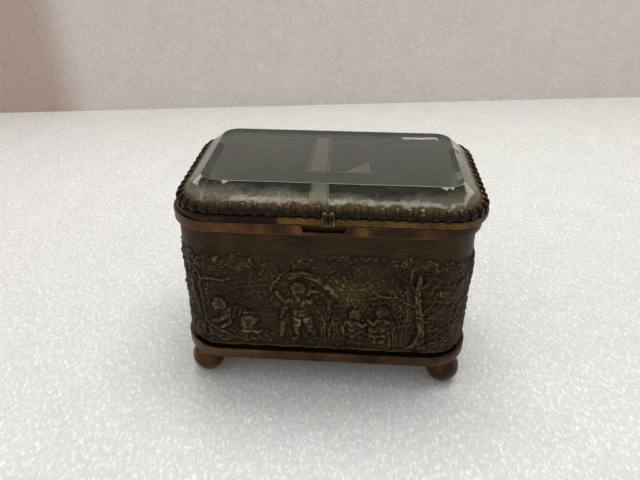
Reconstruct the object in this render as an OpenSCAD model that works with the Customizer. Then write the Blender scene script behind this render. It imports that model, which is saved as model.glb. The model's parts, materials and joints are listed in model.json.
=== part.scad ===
// Small jewel casket: an embossed brass box on four ball feet, with a
// bevelled glass lid held in a clawed bezel and hinged at the back.
// Millimetres, +Z up, front towards -Y, standing on Z = 0.

/* [Body] */
// Outside width of the embossed wall, side to side
body_w = 82.2; // [70:0.1:110]
// Outside depth of the embossed wall, front to back
body_d = 49.8; // [42:0.1:75]
// Outside radius of the wall's upright corners
corner_r = 10.5; // [8:0.1:14]
// Height of the embossed wall
wall_h = 45.3; // [30:0.1:70]
// Thickness of the embossed sheet
sheet_t = 0.6; // [0.4:0.05:1]

/* [Embossed figures] */
// How far the highest figures stand out from the wall
relief_h = 1; // [0.4:0.05:1.1]
// Number of sides of the oval that each raised form stands on
relief_sides = 8; // [6:1:14]
// How far the ground between the figures stands out from the plain wall above it
field_rise = 0.25; // [0.1:0.05:0.35]

/* [Base plate and feet] */
// How far the base plate stands out past the wall
plate_overhang = 1.7; // [1.2:0.1:3]
// Thickness of the base plate's floor
plate_t = 0.8; // [0.6:0.1:1.5]
// Overall height of the base plate's turned-up edge
plate_lip_h = 3.2; // [2:0.1:5]
// Thickness of the turned-up edge
plate_lip_t = 0.8; // [0.5:0.1:1]
// Diameter of the ball feet
foot_d = 10; // [7:0.1:14]
// How much of the ball is filed flat where it rests
foot_flat = 0.1; // [0.05:0.05:0.3]
// How much of the ball is filed flat under the base plate
foot_seat = 0.3; // [0.2:0.05:0.6]
// Diameter of the foot screws
screw_d = 1.8; // [1.5:0.1:2.2]
// Diameter of the foot screws' heads
screw_head_d = 2.8; // [2.6:0.1:5]
// Clearance between a foot screw's head and the wall beside it
screw_head_gap = 0.15; // [0.1:0.05:1]
// Height of the foot screws' heads
screw_head_h = 0.9; // [0.6:0.1:1.5]
// Length of the foot screws inside the ball
screw_bite = 4.5; // [3:0.1:6]

/* [Rim of the body] */
// How far the rim stands out past the wall
rim_overhang = 1.2; // [0.7:0.1:2]
// Height of the rim's face
rim_h = 2.9; // [2:0.1:5]
// Thickness of the rim's top flange
rim_t = 0.6; // [0.4:0.05:1]
// How far the rim's flange reaches in past the wall's outside
rim_reach = 3; // [2.8:0.1:4.5]
// Width of the fingernail notch at the rim's front
notch_w = 11; // [7:0.1:16]
// Height of the ledge left below the notch
notch_ledge = 0.8; // [0.4:0.1:1.5]
// Lean of the notch's two ends, in width over its height
notch_lean = 0.8; // [0:0.1:2]

/* [Lining] */
// Thickness of the cards behind the lining
card_t = 1; // [0.6:0.1:1.5]
// Thickness of the padded wall lining
lining_t = 1; // [0.6:0.1:1.5]
// Height of the floor cushion
cushion_h = 7; // [3:0.1:12]

/* [Lid] */
// Gap between the rim and the closed lid
lid_gap = 0.2; // [0.1:0.05:0.5]
// How far the lid stands out past the wall
lid_overhang = 1.4; // [1:0.1:2.4]
// Sideways set of the lid on its hinge
lid_offset = 1.1; // [0:0.1:1.5]
// Height of the lid's ring
ring_h = 1.9; // [1.5:0.1:3]
// Width of the lid's ring, from its outside to its opening
ring_w = 3; // [2.5:0.1:5]
// Step from the ring's outside in to the clawed bezel
bezel_step = 0.6; // [0.4:0.05:1]
// Thickness of the bezel strip
bezel_t = 0.5; // [0.3:0.05:0.6]
// Number of claws round the bezel
claw_count = 76; // [60:1:90]
// Width of one claw
claw_w = 1.3; // [0.8:0.1:1.7]
// Length of the part of a claw that lies on the glass
claw_reach = 1.6; // [1:0.1:2.2]
// Thickness of a claw
claw_t = 0.45; // [0.3:0.05:0.6]

/* [Glass] */
// Clearance between the glass and the bezel
glass_gap = 0.1; // [0.05:0.05:0.2]
// Height of the glass's upright edge
glass_edge_h = 1.6; // [1:0.1:2.5]
// Height of the bevel above the upright edge
bevel_h = 5; // [3:0.1:6]
// Width of the bevel, seen from above
bevel_w = 6.3; // [5:0.1:7.5]

/* [Thumb piece] */
// Width of the thumb piece
thumb_w = 3.6; // [2.5:0.1:7]
// How far the thumb piece stands out from the lid
thumb_out = 1.3; // [1:0.1:2.5]
// Height of the thumb piece
thumb_h = 4; // [3:0.1:4.8]
// How far the thumb piece reaches down over the lid's ring
thumb_drop = 1.6; // [1:0.1:1.8]
// Number of ribs on the thumb piece
thumb_ribs = 4; // [3:1:6]

/* [Hinge] */
// Radius of the hinge's barrel
barrel_r = 1.3; // [1.1:0.05:2]
// Radius of the hinge's pin
pin_r = 0.6; // [0.4:0.05:0.8]
// How far the pin's ends stand out of the barrel
pin_out = 0.3; // [0:0.1:0.8]
// Running clearance round the pin
pin_gap = 0.05; // [0.02:0.01:0.1]
// Number of knuckles, two kinds in turn
knuckle_count = 5; // [3:2:7]
// Length of one knuckle
knuckle_l = 3.4; // [2.5:0.1:6]
// Gap between neighbouring knuckles
knuckle_gap = 0.15; // [0.1:0.05:0.3]
// Thickness of the hinge's leaves
leaf_t = 0.6; // [0.4:0.05:0.8]
// Clearance between the barrel and the lid and rim behind it
barrel_gap = 0.2; // [0.15:0.05:0.4]

/* [Paper left under the glass] */
// Thickness of the paper
paper_t = 0.12; // [0.08:0.01:0.3]
// Length of the paper strip, front to back
strip_l = 23.8; // [15:0.1:25]
// Width of the paper strip at its front end
strip_front_w = 6; // [4:0.1:9]
// Width of the paper strip at its back end
strip_back_w = 4.9; // [3:0.1:9]
// Distance of the strip's front end in front of the lid's middle
strip_front = 6.3; // [0:0.1:12]
// Sideways place of the strip, from the lid's middle
strip_x = -3.9; // [-8:0.1:0]
// Length of the paper edge left along the strip's front end
edge_l = 20.5; // [14:0.1:24]
// Width of that paper edge
edge_w = 0.35; // [0.2:0.05:1]
// Sideways place of that paper edge's left end, from the lid's middle
edge_x = -8.8; // [-14:0.1:-7.5]
// Length of the torn scrap along the paper edge
scrap_l = 6.9; // [3:0.1:8]
// Height of the torn scrap, front to back
scrap_h = 7.2; // [3:0.1:10]
// Length of the paper edge to the right of the scrap
scrap_tail = 1; // [0.4:0.1:3]
// How far the scrap's point lies to the left of its right end
scrap_lean = 0.4; // [0:0.1:2]

/* [Hidden] */
$fn = 96;

eps = 0.01;              // overlap that joins the pieces of one solid
fit_gap = 0.1;           // clearance between fitted pieces
tie_gap = 0.3;           // clearance round soft pieces
past = 1;                // how far a cutter runs past what it cuts

// Heights, from the table up
plate_z = foot_d - foot_flat - foot_seat;
floor_z = plate_z + plate_t;
rim_top = floor_z + wall_h + rim_t;
rim_bottom = rim_top - rim_h;
card_z = floor_z + screw_head_h;
lining_z = card_z + card_t;
lining_top = floor_z + wall_h - fit_gap;
lid_z = rim_top + lid_gap;
glass_z = lid_z + ring_h;
bevel_z = glass_z + glass_edge_h;

// Outlines: how far each lies outside the wall (+) or inside it (-)
in_sheet = -sheet_t;
in_card = in_sheet - fit_gap - card_t;
in_lining = in_card - lining_t;
lid_out = lid_overhang;
in_bezel = lid_out - bezel_step;
in_glass = in_bezel - bezel_t - glass_gap;
in_plateau = in_glass - bevel_w;
in_ring = lid_out - ring_w;

// Feet: each one's axis lies on a corner's diagonal, clear of the wall inside it
foot_reach = (corner_r - sheet_t - screw_head_gap - screw_head_d / 2) * cos(45);
foot_x = body_w / 2 - corner_r + foot_reach;
foot_y = body_d / 2 - corner_r + foot_reach;
foot_centre = foot_d / 2 - foot_flat;

// Hinge
hinge_z = rim_top + lid_gap / 2;
hinge_back = body_d / 2 + max(rim_overhang, lid_out);
hinge_y = hinge_back + barrel_gap + barrel_r;
pin_hole_r = pin_r + pin_gap;
barrel_l = knuckle_count * knuckle_l + (knuckle_count - 1) * knuckle_gap;
knuckle_step = knuckle_l + knuckle_gap;

// The footprint's middle becomes the origin
half_w = body_w / 2;
half_d = body_d / 2;
left_x = min(-half_w - plate_overhang, -half_w - lid_out + lid_offset);
right_x = max(half_w + plate_overhang, half_w + lid_out + lid_offset);
front_y = min(-half_d - plate_overhang, -half_d - lid_out - thumb_out);
back_y = max(half_d + plate_overhang, hinge_y + barrel_r);

module place() {
    translate([-(left_x + right_x) / 2, -(front_y + back_y) / 2, 0]) children();
}

module place_on_lid() {
    place() translate([lid_offset, 0, 0]) children();
}

// Rounded rectangle lying o outside the wall's own outline
module outline(o) {
    w = body_w + 2 * o;
    d = body_d + 2 * o;
    r = corner_r + o;
    square([w - 2 * r, d], center = true);
    square([w, d - 2 * r], center = true);
    for (x = [-1, 1], y = [-1, 1])
        translate([x * (w / 2 - r), y * (d / 2 - r)]) circle(r);
}

module slab(o, h) {
    linear_extrude(h) outline(o);
}

module band(outer, inner, h) {
    linear_extrude(h) difference() {
        outline(outer);
        outline(inner);
    }
}

// Outlines as a path: its straight stretches, its length and a point of it after a run s,
// counted from the front's middle towards the right, as [x, y, outward angle]
straight_x = body_w - 2 * corner_r;
straight_y = body_d - 2 * corner_r;

function quarter(r) = PI / 2 * r;
function half_path(r) = straight_x + straight_y + 2 * quarter(r);
function path(r) = 2 * half_path(r);

function on_outline(s, r) =
    let (
        run = s + straight_x / 2,
        lap = run - floor(run / path(r)) * path(r),
        turned = lap >= half_path(r),
        t = turned ? lap - half_path(r) : lap,
        corner_1 = straight_x,
        edge_2 = corner_1 + quarter(r),
        corner_2 = edge_2 + straight_y,
        ax = straight_x / 2,
        ay = straight_y / 2,
        p = t < corner_1 ? [t - ax, -ay, -90]
          : t < edge_2 ? [ax, -ay, -90 + 90 * (t - corner_1) / quarter(r)]
          : t < corner_2 ? [ax, t - edge_2 - ay, 0]
          : [ax, ay, 90 * (t - corner_2) / quarter(r)],
        q = turned ? [-p[0], -p[1], p[2] + 180] : p
    )
    [q[0] + r * cos(q[2]), q[1] + r * sin(q[2]), q[2]];

module base_plate() {
    lip_out = plate_overhang;
    color("peru") place() difference() {
        union() {
            translate([0, 0, plate_z]) slab(lip_out, plate_t);
            translate([0, 0, plate_z]) band(lip_out, lip_out - plate_lip_t, plate_lip_h);
        }
        for (x = [-1, 1], y = [-1, 1])
            translate([x * foot_x, y * foot_y, plate_z - past])
                cylinder(r = screw_d / 2 + fit_gap, h = plate_t + 2 * past);
    }
}

// Wall with the frieze's main forms standing out from its ground
module embossed_wall() {
    color("darkolivegreen") place() {
        translate([0, 0, floor_z]) band(0, in_sheet, wall_h);
        translate([0, 0, field_z + field_scale * ground_low])
            band(field_rise, -form_foot, field_scale * (ground_high - ground_low));
        frieze(front_forms, 0, 1);
        frieze(side_forms, side_run, 1);
        frieze(side_forms, -side_run, -1);
        frieze(back_forms, back_run, 1);
        frieze(back_forms, back_run, -1);
    }
}

// The frieze. Each raised form is [along, up, half length, half width, turn, share of
// the relief's height], in mm from the point that its figure or its panel is drawn from.
standing_child = [
    [-0.2, 19, 2.4, 2.2, 90, 1], [0, 12.2, 3.8, 2.3, 90, 1], [1.2, 8.9, 2.4, 1.8, 0, 1],
    [-0.4, 6.6, 2.9, 1.4, 102, 1], [2.6, 6.6, 2.9, 1.4, 106, 1],
    [-0.5, 3.2, 2.4, 1, 100, 0.9], [3.8, 3.3, 2.3, 1, 113, 0.9],
    [-0.9, 0.9, 1.6, 0.7, 18, 0.8], [5.1, 1.3, 1.6, 0.7, 165, 0.8],
    [-3.1, 14.4, 1.9, 1.1, 0, 0.9], [-4.9, 15.9, 2.5, 0.9, 125, 0.9],
    [-3.3, 12.5, 2.2, 0.9, 52, 0.85], [-4.5, 9.9, 1.7, 0.8, 74, 0.8],
    [2.8, 14.4, 1.8, 1, 12, 0.9], [4.7, 15.7, 1.9, 0.9, 48, 0.9]
];
crouching_child = [
    [-5.6, 10.6, 2.4, 2.2, 90, 1], [-1.2, 7.7, 3.8, 2.2, 0, 1], [2.6, 6, 3.2, 2.6, 140, 1],
    [2.4, 3.6, 2.9, 1.8, 90, 1], [3.4, 1.1, 2.6, 1, 175, 0.9],
    [-4.4, 5.9, 2.2, 1, 48, 1], [-6.5, 4.6, 1.9, 0.8, 15, 1],
    [-2.8, 5, 2.1, 0.9, 80, 0.85], [-4.1, 3, 1.8, 0.7, 35, 0.8]
];
seated_child = [
    [1.1, 11.1, 2.4, 2.2, 90, 1], [0.2, 6.6, 3.4, 2.2, 95, 1], [0.3, 3.4, 2.7, 1.9, 0, 1],
    [2.4, 4, 2.9, 1.5, 15, 1], [4.1, 2.4, 2.2, 1, 92, 0.9],
    [3.1, 2.1, 3.2, 1.1, 3, 0.9], [3.2, 7.2, 2.4, 0.9, 0, 0.95], [-2.4, 5.8, 2.8, 0.9, 80, 0.9]
];
tree = [
    [0, 4.5, 6, 1.9, 90, 0.8], [-0.2, 12.5, 6, 1.6, 90, 0.8], [-0.6, 20, 6, 1.2, 90, 0.8],
    [-1, 0.8, 2, 0.8, 40, 0.6], [1, 0.8, 2, 0.8, 140, 0.6]
];

// A group of forms set into a panel, at a size, and facing right (1) or left (-1)
function group(forms, along, up, size = 1, facing = 1) = [
    for (f = forms) [
        along + facing * size * f[0], up + size * f[1], size * f[2], size * f[3],
        facing > 0 ? f[4] : 180 - f[4], f[5]
    ]
];

front_forms = concat(
    group(tree, -36.8, 3), group(crouching_child, -24.6, 5.4),
    group(standing_child, -7.2, 3.6), group(seated_child, 8.2, 4.2, 0.9),
    group(seated_child, 17.4, 4.8, 0.95, -1), group(tree, 27.4, 2.7),
    [
        [-38.5, 29.2, 4.6, 3.4, 0, 0.8], [-32, 29.8, 4.4, 2.6, 0, 0.8],
        [-24.5, 30.6, 4.6, 2.4, 0, 0.8], [-41, 23, 3, 2.4, 90, 0.75],
        [-29.7, 6.6, 5.6, 0.9, 148, 0.8], [-23, 17.3, 3.4, 2, 45, 0.7],
        [-16, 10.7, 3.6, 3.4, 0, 0.6], [-18.5, 17.7, 3, 1.6, 0, 0.5],
        [-22, 3, 8, 1.2, 0, 0.6], [12, 3.2, 10, 1.3, 0, 0.6],
        [-11.8, 9.2, 4.4, 1.2, 81, 0.8], [-13.3, 24.8, 3.6, 0.8, 60, 0.9],
        [-14.8, 19.8, 2.9, 0.8, 75, 0.9], [-5.7, 27, 4.4, 1.3, 0, 0.8],
        [0.8, 23.6, 4.6, 1.2, 132, 0.8], [-2.4, 26.2, 2.8, 1.2, 155, 0.8],
        [-0.6, 18.6, 4.2, 1.3, 130, 0.7], [-43.6, 9, 7, 1.8, 90, 0.6], [4.6, 7, 5, 1.2, 80, 0.7],
        [1.6, 8.4, 5.6, 1.2, 95, 0.7], [1.5, 30.2, 5.5, 2, 0, 0.6],
        [12, 29.4, 5.5, 2.7, 0, 0.7], [17.5, 25.7, 3.6, 3.4, 90, 0.7],
        [22.5, 10.2, 4, 2.6, 90, 0.65], [26, 31.8, 4.8, 2.1, 0, 0.8],
        [34, 29.2, 5.4, 3.2, 0, 0.8], [36.5, 22.2, 4.6, 3.6, 0, 0.8],
        [34, 14.7, 4.2, 3.6, 0, 0.8], [37.5, 7.7, 4.2, 4, 0, 0.8]
    ]);
side_forms = concat(
    group(standing_child, -2.6, 3.6), group(tree, 12, 2.7),
    [
        [13, 29.7, 6, 3.2, 0, 0.8], [6, 30.8, 4.4, 2.1, 0, 0.7], [19, 23.2, 5, 4.2, 90, 0.75],
        [19, 11.2, 5, 4, 90, 0.75], [-14, 17.2, 7, 5.2, 90, 0.75], [-15, 29.2, 5, 3, 0, 0.75],
        [-18, 8.2, 4, 4, 0, 0.75], [0, 3, 9, 1.2, 0, 0.6], [6, 8.5, 5, 2.6, 90, 0.5],
        [1.2, 19.6, 3.6, 2, 45, 0.7], [-9.6, 21, 3.4, 0.8, 65, 0.9], [-9.4, 14, 3.8, 0.8, 110, 0.9]
    ]);
// One half of the back, whose other half is its mirror image
back_forms = concat(
    group(standing_child, 15.5, 3.6), group(tree, 30, 2.7),
    [
        [32, 29.7, 5.4, 3.2, 0, 0.8], [24, 30.8, 4.6, 2.1, 0, 0.7], [37, 21.2, 5, 3.8, 90, 0.75],
        [37, 9.2, 5, 3.8, 90, 0.75], [24.5, 8.7, 4.2, 4, 0, 0.7], [3.4, 6.7, 3.4, 3, 0, 0.7],
        [9, 2.9, 9, 1.2, 0, 0.6], [10.6, 19.2, 3.4, 2, 135, 0.7], [2, 13.6, 2.6, 0.9, 8, 0.8],
        [6.8, 16.4, 3.4, 0.9, 38, 0.8]
    ]);

drawn_h = 40.6;          // height of the field that the forms above are drawn for
ground_low = 1.2;        // foot of the raised ground in that drawing
ground_high = 32.2;      // and its top
form_foot = sheet_t / 3; // how deep a form stands in the sheet
shoulder_in = 0.66;      // size of a form at its shoulder, as a share of its foot
shoulder_up = 0.7;       // height of its shoulder, as a share of its top
side_run = (straight_x + straight_y) / 2 + quarter(corner_r);
back_run = half_path(corner_r);
field_z = plate_z + plate_lip_h;
field_scale = (rim_bottom - field_z) / drawn_h;

// The forms of one panel, from the middle of its side, facing right (1) or left (-1)
module frieze(forms, middle, facing) {
    for (f = group(forms, middle, 0, 1, facing))
        form(f[0], field_z + field_scale * f[1], f[2], field_scale * f[3], f[4],
             relief_h * f[5]);
}

// An oval boss with a shoulder all round, bent to the wall's outline
module form(along, up, half_l, half_w, turn, rise) {
    n = relief_sides;
    levels = [[-form_foot, 1], [shoulder_up * rise, shoulder_in]];
    top = 2 * n + 1;
    function at(u, v, out) = let (
        p = on_outline(along + u * cos(turn) - v * sin(turn), corner_r)
    ) [p[0] + out * cos(p[2]), p[1] + out * sin(p[2]), up + u * sin(turn) + v * cos(turn)];
    polyhedron(
        concat(
            [at(0, 0, -form_foot)],
            [for (level = levels, k = [0:n - 1])
                at(level[1] * half_l * cos(360 * k / n), level[1] * half_w * sin(360 * k / n),
                   level[0])],
            [at(0, 0, rise)]),
        [for (k = [0:n - 1], next = (k + 1) % n, face = [
            [0, 1 + k, 1 + next], [1 + k, 1 + n + k, 1 + n + next],
            [1 + k, 1 + n + next, 1 + next], [top, 1 + n + next, 1 + n + k]]) face]);
}

// Angle-section rim: a face outside the wall and a flange over its top edge
module rim() {
    face_in = fit_gap;
    color("peru") place() difference() {
        union() {
            translate([0, 0, rim_top - rim_t]) band(rim_overhang, -rim_reach, rim_t);
            translate([0, 0, rim_bottom]) band(rim_overhang, face_in, rim_h);
        }
        thumb_notch();
    }
}

module thumb_notch() {
    notch_h = rim_h - rim_t - notch_ledge;
    notch_in = rim_overhang - fit_gap;
    translate([0, -half_d - fit_gap + eps, rim_bottom + notch_ledge])
        rotate([90, 0, 0]) linear_extrude(notch_in + past)
            polygon([[-notch_w / 2, 0], [notch_w / 2, 0],
                     [notch_w / 2 + notch_lean, notch_h + rim_t + past],
                     [-notch_w / 2 - notch_lean, notch_h + rim_t + past]]);
}

module floor_card() {
    color("tan") place() translate([0, 0, card_z]) slab(in_sheet - fit_gap, card_t);
}

module wall_card() {
    color("tan") place() translate([0, 0, lining_z])
        band(in_sheet - fit_gap, in_card, lining_top - lining_z);
}

module wall_lining() {
    color("dimgray") place() translate([0, 0, lining_z])
        band(in_card, in_lining, lining_top - lining_z);
}

module floor_cushion() {
    color("dimgray") place() translate([0, 0, lining_z])
        slab(in_lining - tie_gap, cushion_h);
}

// Ball foot with a filed seat, a filed rest and a blind hole for its screw
module foot(x, y) {
    color("peru") place() translate([x * foot_x, y * foot_y, 0]) difference() {
        translate([0, 0, foot_centre]) sphere(d = foot_d);
        translate([-foot_d, -foot_d, -foot_d]) cube([2 * foot_d, 2 * foot_d, foot_d]);
        translate([-foot_d, -foot_d, plate_z]) cube([2 * foot_d, 2 * foot_d, foot_d]);
        translate([0, 0, plate_z - screw_bite - fit_gap])
            cylinder(d = screw_d + fit_gap, h = screw_bite + past);
    }
}

module foot_screws() {
    color("darkgoldenrod") place()
        for (x = [-1, 1], y = [-1, 1])
            translate([x * foot_x, y * foot_y, 0]) {
                translate([0, 0, plate_z - screw_bite])
                    cylinder(d = screw_d, h = screw_bite + plate_t + eps);
                translate([0, 0, floor_z]) cylinder(d = screw_head_d, h = screw_head_h);
            }
}

// Cylinder along X, of length l, starting at x
module rod(x, l, r) {
    translate([x, hinge_y, hinge_z]) rotate([0, 90, 0]) cylinder(r = r, h = l);
}

// One half of the hinge: side 1 is the lid's, side -1 the body's
module hinge_half(side, first, leaf_h, leaf_y) {
    start = -barrel_l / 2;
    leaf_depth = hinge_y - leaf_y;
    difference() {
        union() {
            for (k = [first:2:knuckle_count - 1])
                rod(start + k * knuckle_step, knuckle_l, barrel_r);
            translate([start, leaf_y, side > 0 ? hinge_z + lid_gap : hinge_z - lid_gap - leaf_h])
                cube([barrel_l, leaf_t, leaf_h]);
            for (k = [first:2:knuckle_count - 1])
                translate([start + k * knuckle_step, leaf_y,
                           side > 0 ? hinge_z + lid_gap : hinge_z - lid_gap - barrel_r])
                    cube([knuckle_l, leaf_depth, barrel_r]);
        }
        rod(start - past, barrel_l + 2 * past, pin_hole_r);
        for (k = [1 - first:2:knuckle_count - 1])
            rod(start + k * knuckle_step - knuckle_gap, knuckle_l + 2 * knuckle_gap,
                barrel_r + barrel_gap - eps);
    }
}

module hinge_body_leaf() {
    color("peru") place()
        hinge_half(-1, 0, rim_h - lid_gap, half_d + rim_overhang);
}

module hinge_lid_leaf() {
    color("peru") place()
        hinge_half(1, 1, ring_h - lid_gap, half_d + lid_out);
}

module hinge_pin() {
    color("darkgoldenrod") place() rod(-barrel_l / 2 - pin_out, barrel_l + 2 * pin_out, pin_r);
}

module lid_ring() {
    color("goldenrod") place_on_lid() translate([0, 0, lid_z]) band(lid_out, in_ring, ring_h);
}

// Side view of one claw, outward along +X, bent over the glass's bevel
module claw_profile() {
    slope = atan(bevel_h / bevel_w);
    glass_x = -bezel_t - glass_gap;
    lift = glass_gap + claw_t;
    low = glass_edge_h + glass_gap * (1 - sin(slope)) / cos(slope);
    high = glass_edge_h + (lift - (bezel_t + glass_gap) * sin(slope)) / cos(slope);
    rise = claw_reach * sin(slope);
    run = claw_reach * cos(slope);
    polygon([[glass_x + glass_gap + eps, 0], [claw_t - eps, 0], [claw_t - eps, high],
             [glass_x - run + claw_t * sin(slope), low + rise + claw_t * cos(slope)],
             [glass_x - run, low + rise], [glass_x + glass_gap + eps, low]]);
}

module claw_bezel() {
    bezel_r = corner_r + in_bezel;
    pitch = path(bezel_r) / claw_count;
    color("saddlebrown") place_on_lid() translate([0, 0, glass_z]) {
        band(in_bezel, in_bezel - bezel_t, glass_edge_h);
        for (k = [0:claw_count - 1]) {
            p = on_outline((k + 0.5) * pitch - straight_x / 2, bezel_r);
            translate([p[0], p[1], 0]) rotate([0, 0, p[2]])
                rotate([90, 0, 0]) translate([0, 0, -claw_w / 2])
                    linear_extrude(claw_w) claw_profile();
        }
    }
}

// Slab with a bevel on every side and cone-cut corners
module bevelled_glass() {
    lower = corner_r + in_glass;
    upper = corner_r + in_plateau;
    cx = half_w - corner_r;
    cy = half_d - corner_r;
    color([0.8, 0.87, 0.85, 0.4]) place_on_lid() {
        translate([0, 0, glass_z]) slab(in_glass, glass_edge_h + eps);
        translate([0, 0, bevel_z]) {
            for (x = [-cx, cx], y = [-cy, cy])
                translate([x, y, 0]) cylinder(r1 = lower, r2 = upper, h = bevel_h);
            bevel_prism(2 * cx, cy + lower, cy + upper, 90);
            bevel_prism(2 * cy, cx + lower, cx + upper, 0);
        }
    }
}

module bevel_prism(length, low, high, turn) {
    rotate([90, 0, turn]) translate([0, 0, -length / 2]) linear_extrude(length)
        polygon([[-low, 0], [low, 0], [high, bevel_h], [-high, bevel_h]]);
}

// Ribbed lug at the lid's front edge
module thumb_piece() {
    rib_r = thumb_w / thumb_ribs / 2;
    lug_y = -half_d - lid_out;
    lug_z = glass_z - thumb_drop;
    color("goldenrod") place_on_lid() translate([0, lug_y, lug_z]) {
        translate([-thumb_w / 2, -thumb_out + rib_r, 0])
            cube([thumb_w, thumb_out - rib_r, thumb_h]);
        for (k = [0:thumb_ribs - 1])
            translate([-thumb_w / 2 + rib_r * (2 * k + 1), -thumb_out + rib_r, 0])
                cylinder(r = rib_r - eps, h = thumb_h);
    }
}

module paper_strip() {
    color("wheat") place_on_lid() translate([strip_x, -strip_front, glass_z - paper_t])
        linear_extrude(paper_t)
            polygon([[-strip_front_w / 2, 0], [strip_front_w / 2, 0],
                     [strip_back_w / 2, strip_l], [-strip_back_w / 2, strip_l]]);
}

// Torn edge of the paper, with a three-cornered scrap standing on it
module paper_scrap() {
    end_x = edge_x + edge_l;
    scrap_x = end_x - scrap_tail;
    color("wheat") place_on_lid() translate([0, -strip_front, glass_z - paper_t])
        linear_extrude(paper_t)
            polygon([[edge_x, -fit_gap - edge_w], [end_x, -fit_gap - edge_w],
                     [end_x, -fit_gap], [scrap_x, -fit_gap], [scrap_x - scrap_lean, scrap_h],
                     [scrap_x - scrap_l, -fit_gap], [edge_x, -fit_gap]]);
}

base_plate();
embossed_wall();
rim();
floor_card();
wall_card();
wall_lining();
floor_cushion();
foot(-1, -1);  // foot_front_left
foot(1, -1);  // foot_front_right
foot(-1, 1);  // foot_back_left
foot(1, 1);  // foot_back_right
foot_screws();
hinge_body_leaf();
hinge_pin();
hinge_lid_leaf();
lid_ring();
claw_bezel();
bevelled_glass();
thumb_piece();
paper_strip();
paper_scrap();
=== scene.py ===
"""A small jewel casket: embossed brass walls on ball feet, under a hinged lid of thick
bevelled glass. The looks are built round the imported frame, in metres."""

import json
import math

import bmesh
import bpy
import numpy as np
from bpy.props import (
    FloatProperty,
    FloatVectorProperty,
    IntProperty,
    PointerProperty,
)
from mathutils import Matrix, Vector

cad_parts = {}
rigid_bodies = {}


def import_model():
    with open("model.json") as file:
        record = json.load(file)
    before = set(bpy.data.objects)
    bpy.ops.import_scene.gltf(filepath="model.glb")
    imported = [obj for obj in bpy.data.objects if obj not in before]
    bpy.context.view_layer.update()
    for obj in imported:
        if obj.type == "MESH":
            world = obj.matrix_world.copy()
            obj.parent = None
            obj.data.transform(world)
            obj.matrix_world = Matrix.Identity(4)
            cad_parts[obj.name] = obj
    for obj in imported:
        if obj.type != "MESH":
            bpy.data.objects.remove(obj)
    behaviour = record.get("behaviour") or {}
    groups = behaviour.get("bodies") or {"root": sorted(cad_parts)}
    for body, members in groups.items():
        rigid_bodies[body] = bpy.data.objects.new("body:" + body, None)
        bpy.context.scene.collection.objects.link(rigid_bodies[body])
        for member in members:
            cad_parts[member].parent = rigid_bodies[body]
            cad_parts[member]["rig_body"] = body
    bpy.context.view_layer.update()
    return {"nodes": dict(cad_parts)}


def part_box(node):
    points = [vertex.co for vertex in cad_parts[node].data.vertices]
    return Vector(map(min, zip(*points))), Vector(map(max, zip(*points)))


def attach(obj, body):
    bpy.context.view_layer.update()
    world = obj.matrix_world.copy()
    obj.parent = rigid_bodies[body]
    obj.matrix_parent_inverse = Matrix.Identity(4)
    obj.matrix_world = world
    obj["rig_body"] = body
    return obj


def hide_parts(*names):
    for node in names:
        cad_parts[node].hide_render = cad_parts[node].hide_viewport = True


bl_info = {
    "name": "Jewel Casket",
    "version": (1, 0, 0),
    "blender": (4, 5, 0),
    "location": "3D View > Sidebar > Casket",
    "description": "Builds an embossed brass casket with a bevelled glass lid",
    "category": "Add Mesh",
}

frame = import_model()
MM = 0.001


# ---------------------------------------------------------------- sizes from the frame

class Outline:
    """A rounded rectangle that runs round the casket, in millimetres."""

    def __init__(self, x, y, half_w, half_d, radius):
        self.x, self.y = x, y
        self.half_w, self.half_d = half_w, half_d
        self.radius = radius
        self.run_x = 2 * (half_w - radius)
        self.run_y = 2 * (half_d - radius)
        self.quarter = math.pi / 2 * radius
        self.whole = 2 * (self.run_x + self.run_y) + 2 * math.pi * radius

    def grown(self, by):
        """The outline that runs outside this one by so much."""
        return Outline(self.x, self.y, self.half_w + by, self.half_d + by, self.radius + by)

    def corners(self):
        """The middles of the four corner arcs, from the front right one round."""
        ax, ay = self.run_x / 2, self.run_y / 2
        return [(self.x + ax, self.y - ay), (self.x + ax, self.y + ay),
                (self.x - ax, self.y + ay), (self.x - ax, self.y - ay)]

    def stretches(self, start=0.0):
        """Each straight run with the corner after it: start, length, facing and centre."""
        for k, centre in enumerate(self.corners()):
            run = self.run_y if k % 2 else self.run_x
            yield start, run, (k - 1) * math.pi / 2, centre
            start += run + self.quarter

    def at(self, s, out=0.0):
        """Places along it: s runs right from the front's middle, out is away from it."""
        s, out = np.broadcast_arrays(np.asarray(s, float), np.asarray(out, float))
        s = np.mod(s + self.run_x / 2, self.whole)
        x, y, turn = np.zeros(s.shape), np.zeros(s.shape), np.zeros(s.shape)
        for start, run, base, centre in self.stretches():
            on = (s >= start) & (s <= start + run + self.quarter)
            past = s[on] - start - run
            angle = base + np.clip(past, 0, None) / self.radius
            back = np.clip(past, None, 0)
            reach = self.radius + out[on]
            x[on] = centre[0] + np.cos(angle) * reach - math.sin(base) * back
            y[on] = centre[1] + np.sin(angle) * reach + math.cos(base) * back
            turn[on] = angle
        return x, y, turn

    def along(self, x, y):
        """How far along it lies the point nearest to a place."""
        s = np.zeros(np.shape(x))
        for start, run, base, centre in self.stretches(-self.run_x / 2):
            dx, dy = x - centre[0], y - centre[1]
            ahead = -dx * math.sin(base) + dy * math.cos(base)
            away = dx * math.cos(base) + dy * math.sin(base)
            turned = np.arctan2(ahead, away)
            flat = (ahead <= 0) & (ahead >= -run) & (away > 0)
            bent = (turned >= 0) & (turned <= math.pi / 2 + 1e-6) & (ahead >= 0) & (away >= 0)
            s = np.where(flat, start + run + ahead, s)
            s = np.where(bent, start + run + turned * self.radius, s)
        return s


SHEET = 0.6  # thickness of the stamped wall
FIT = 0.1  # gap between the wall and the card behind it
CARD_RADIUS = 9.8
GLASS_EDGE = 1.6  # height of the glass's upright edge, below its bevel


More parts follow.
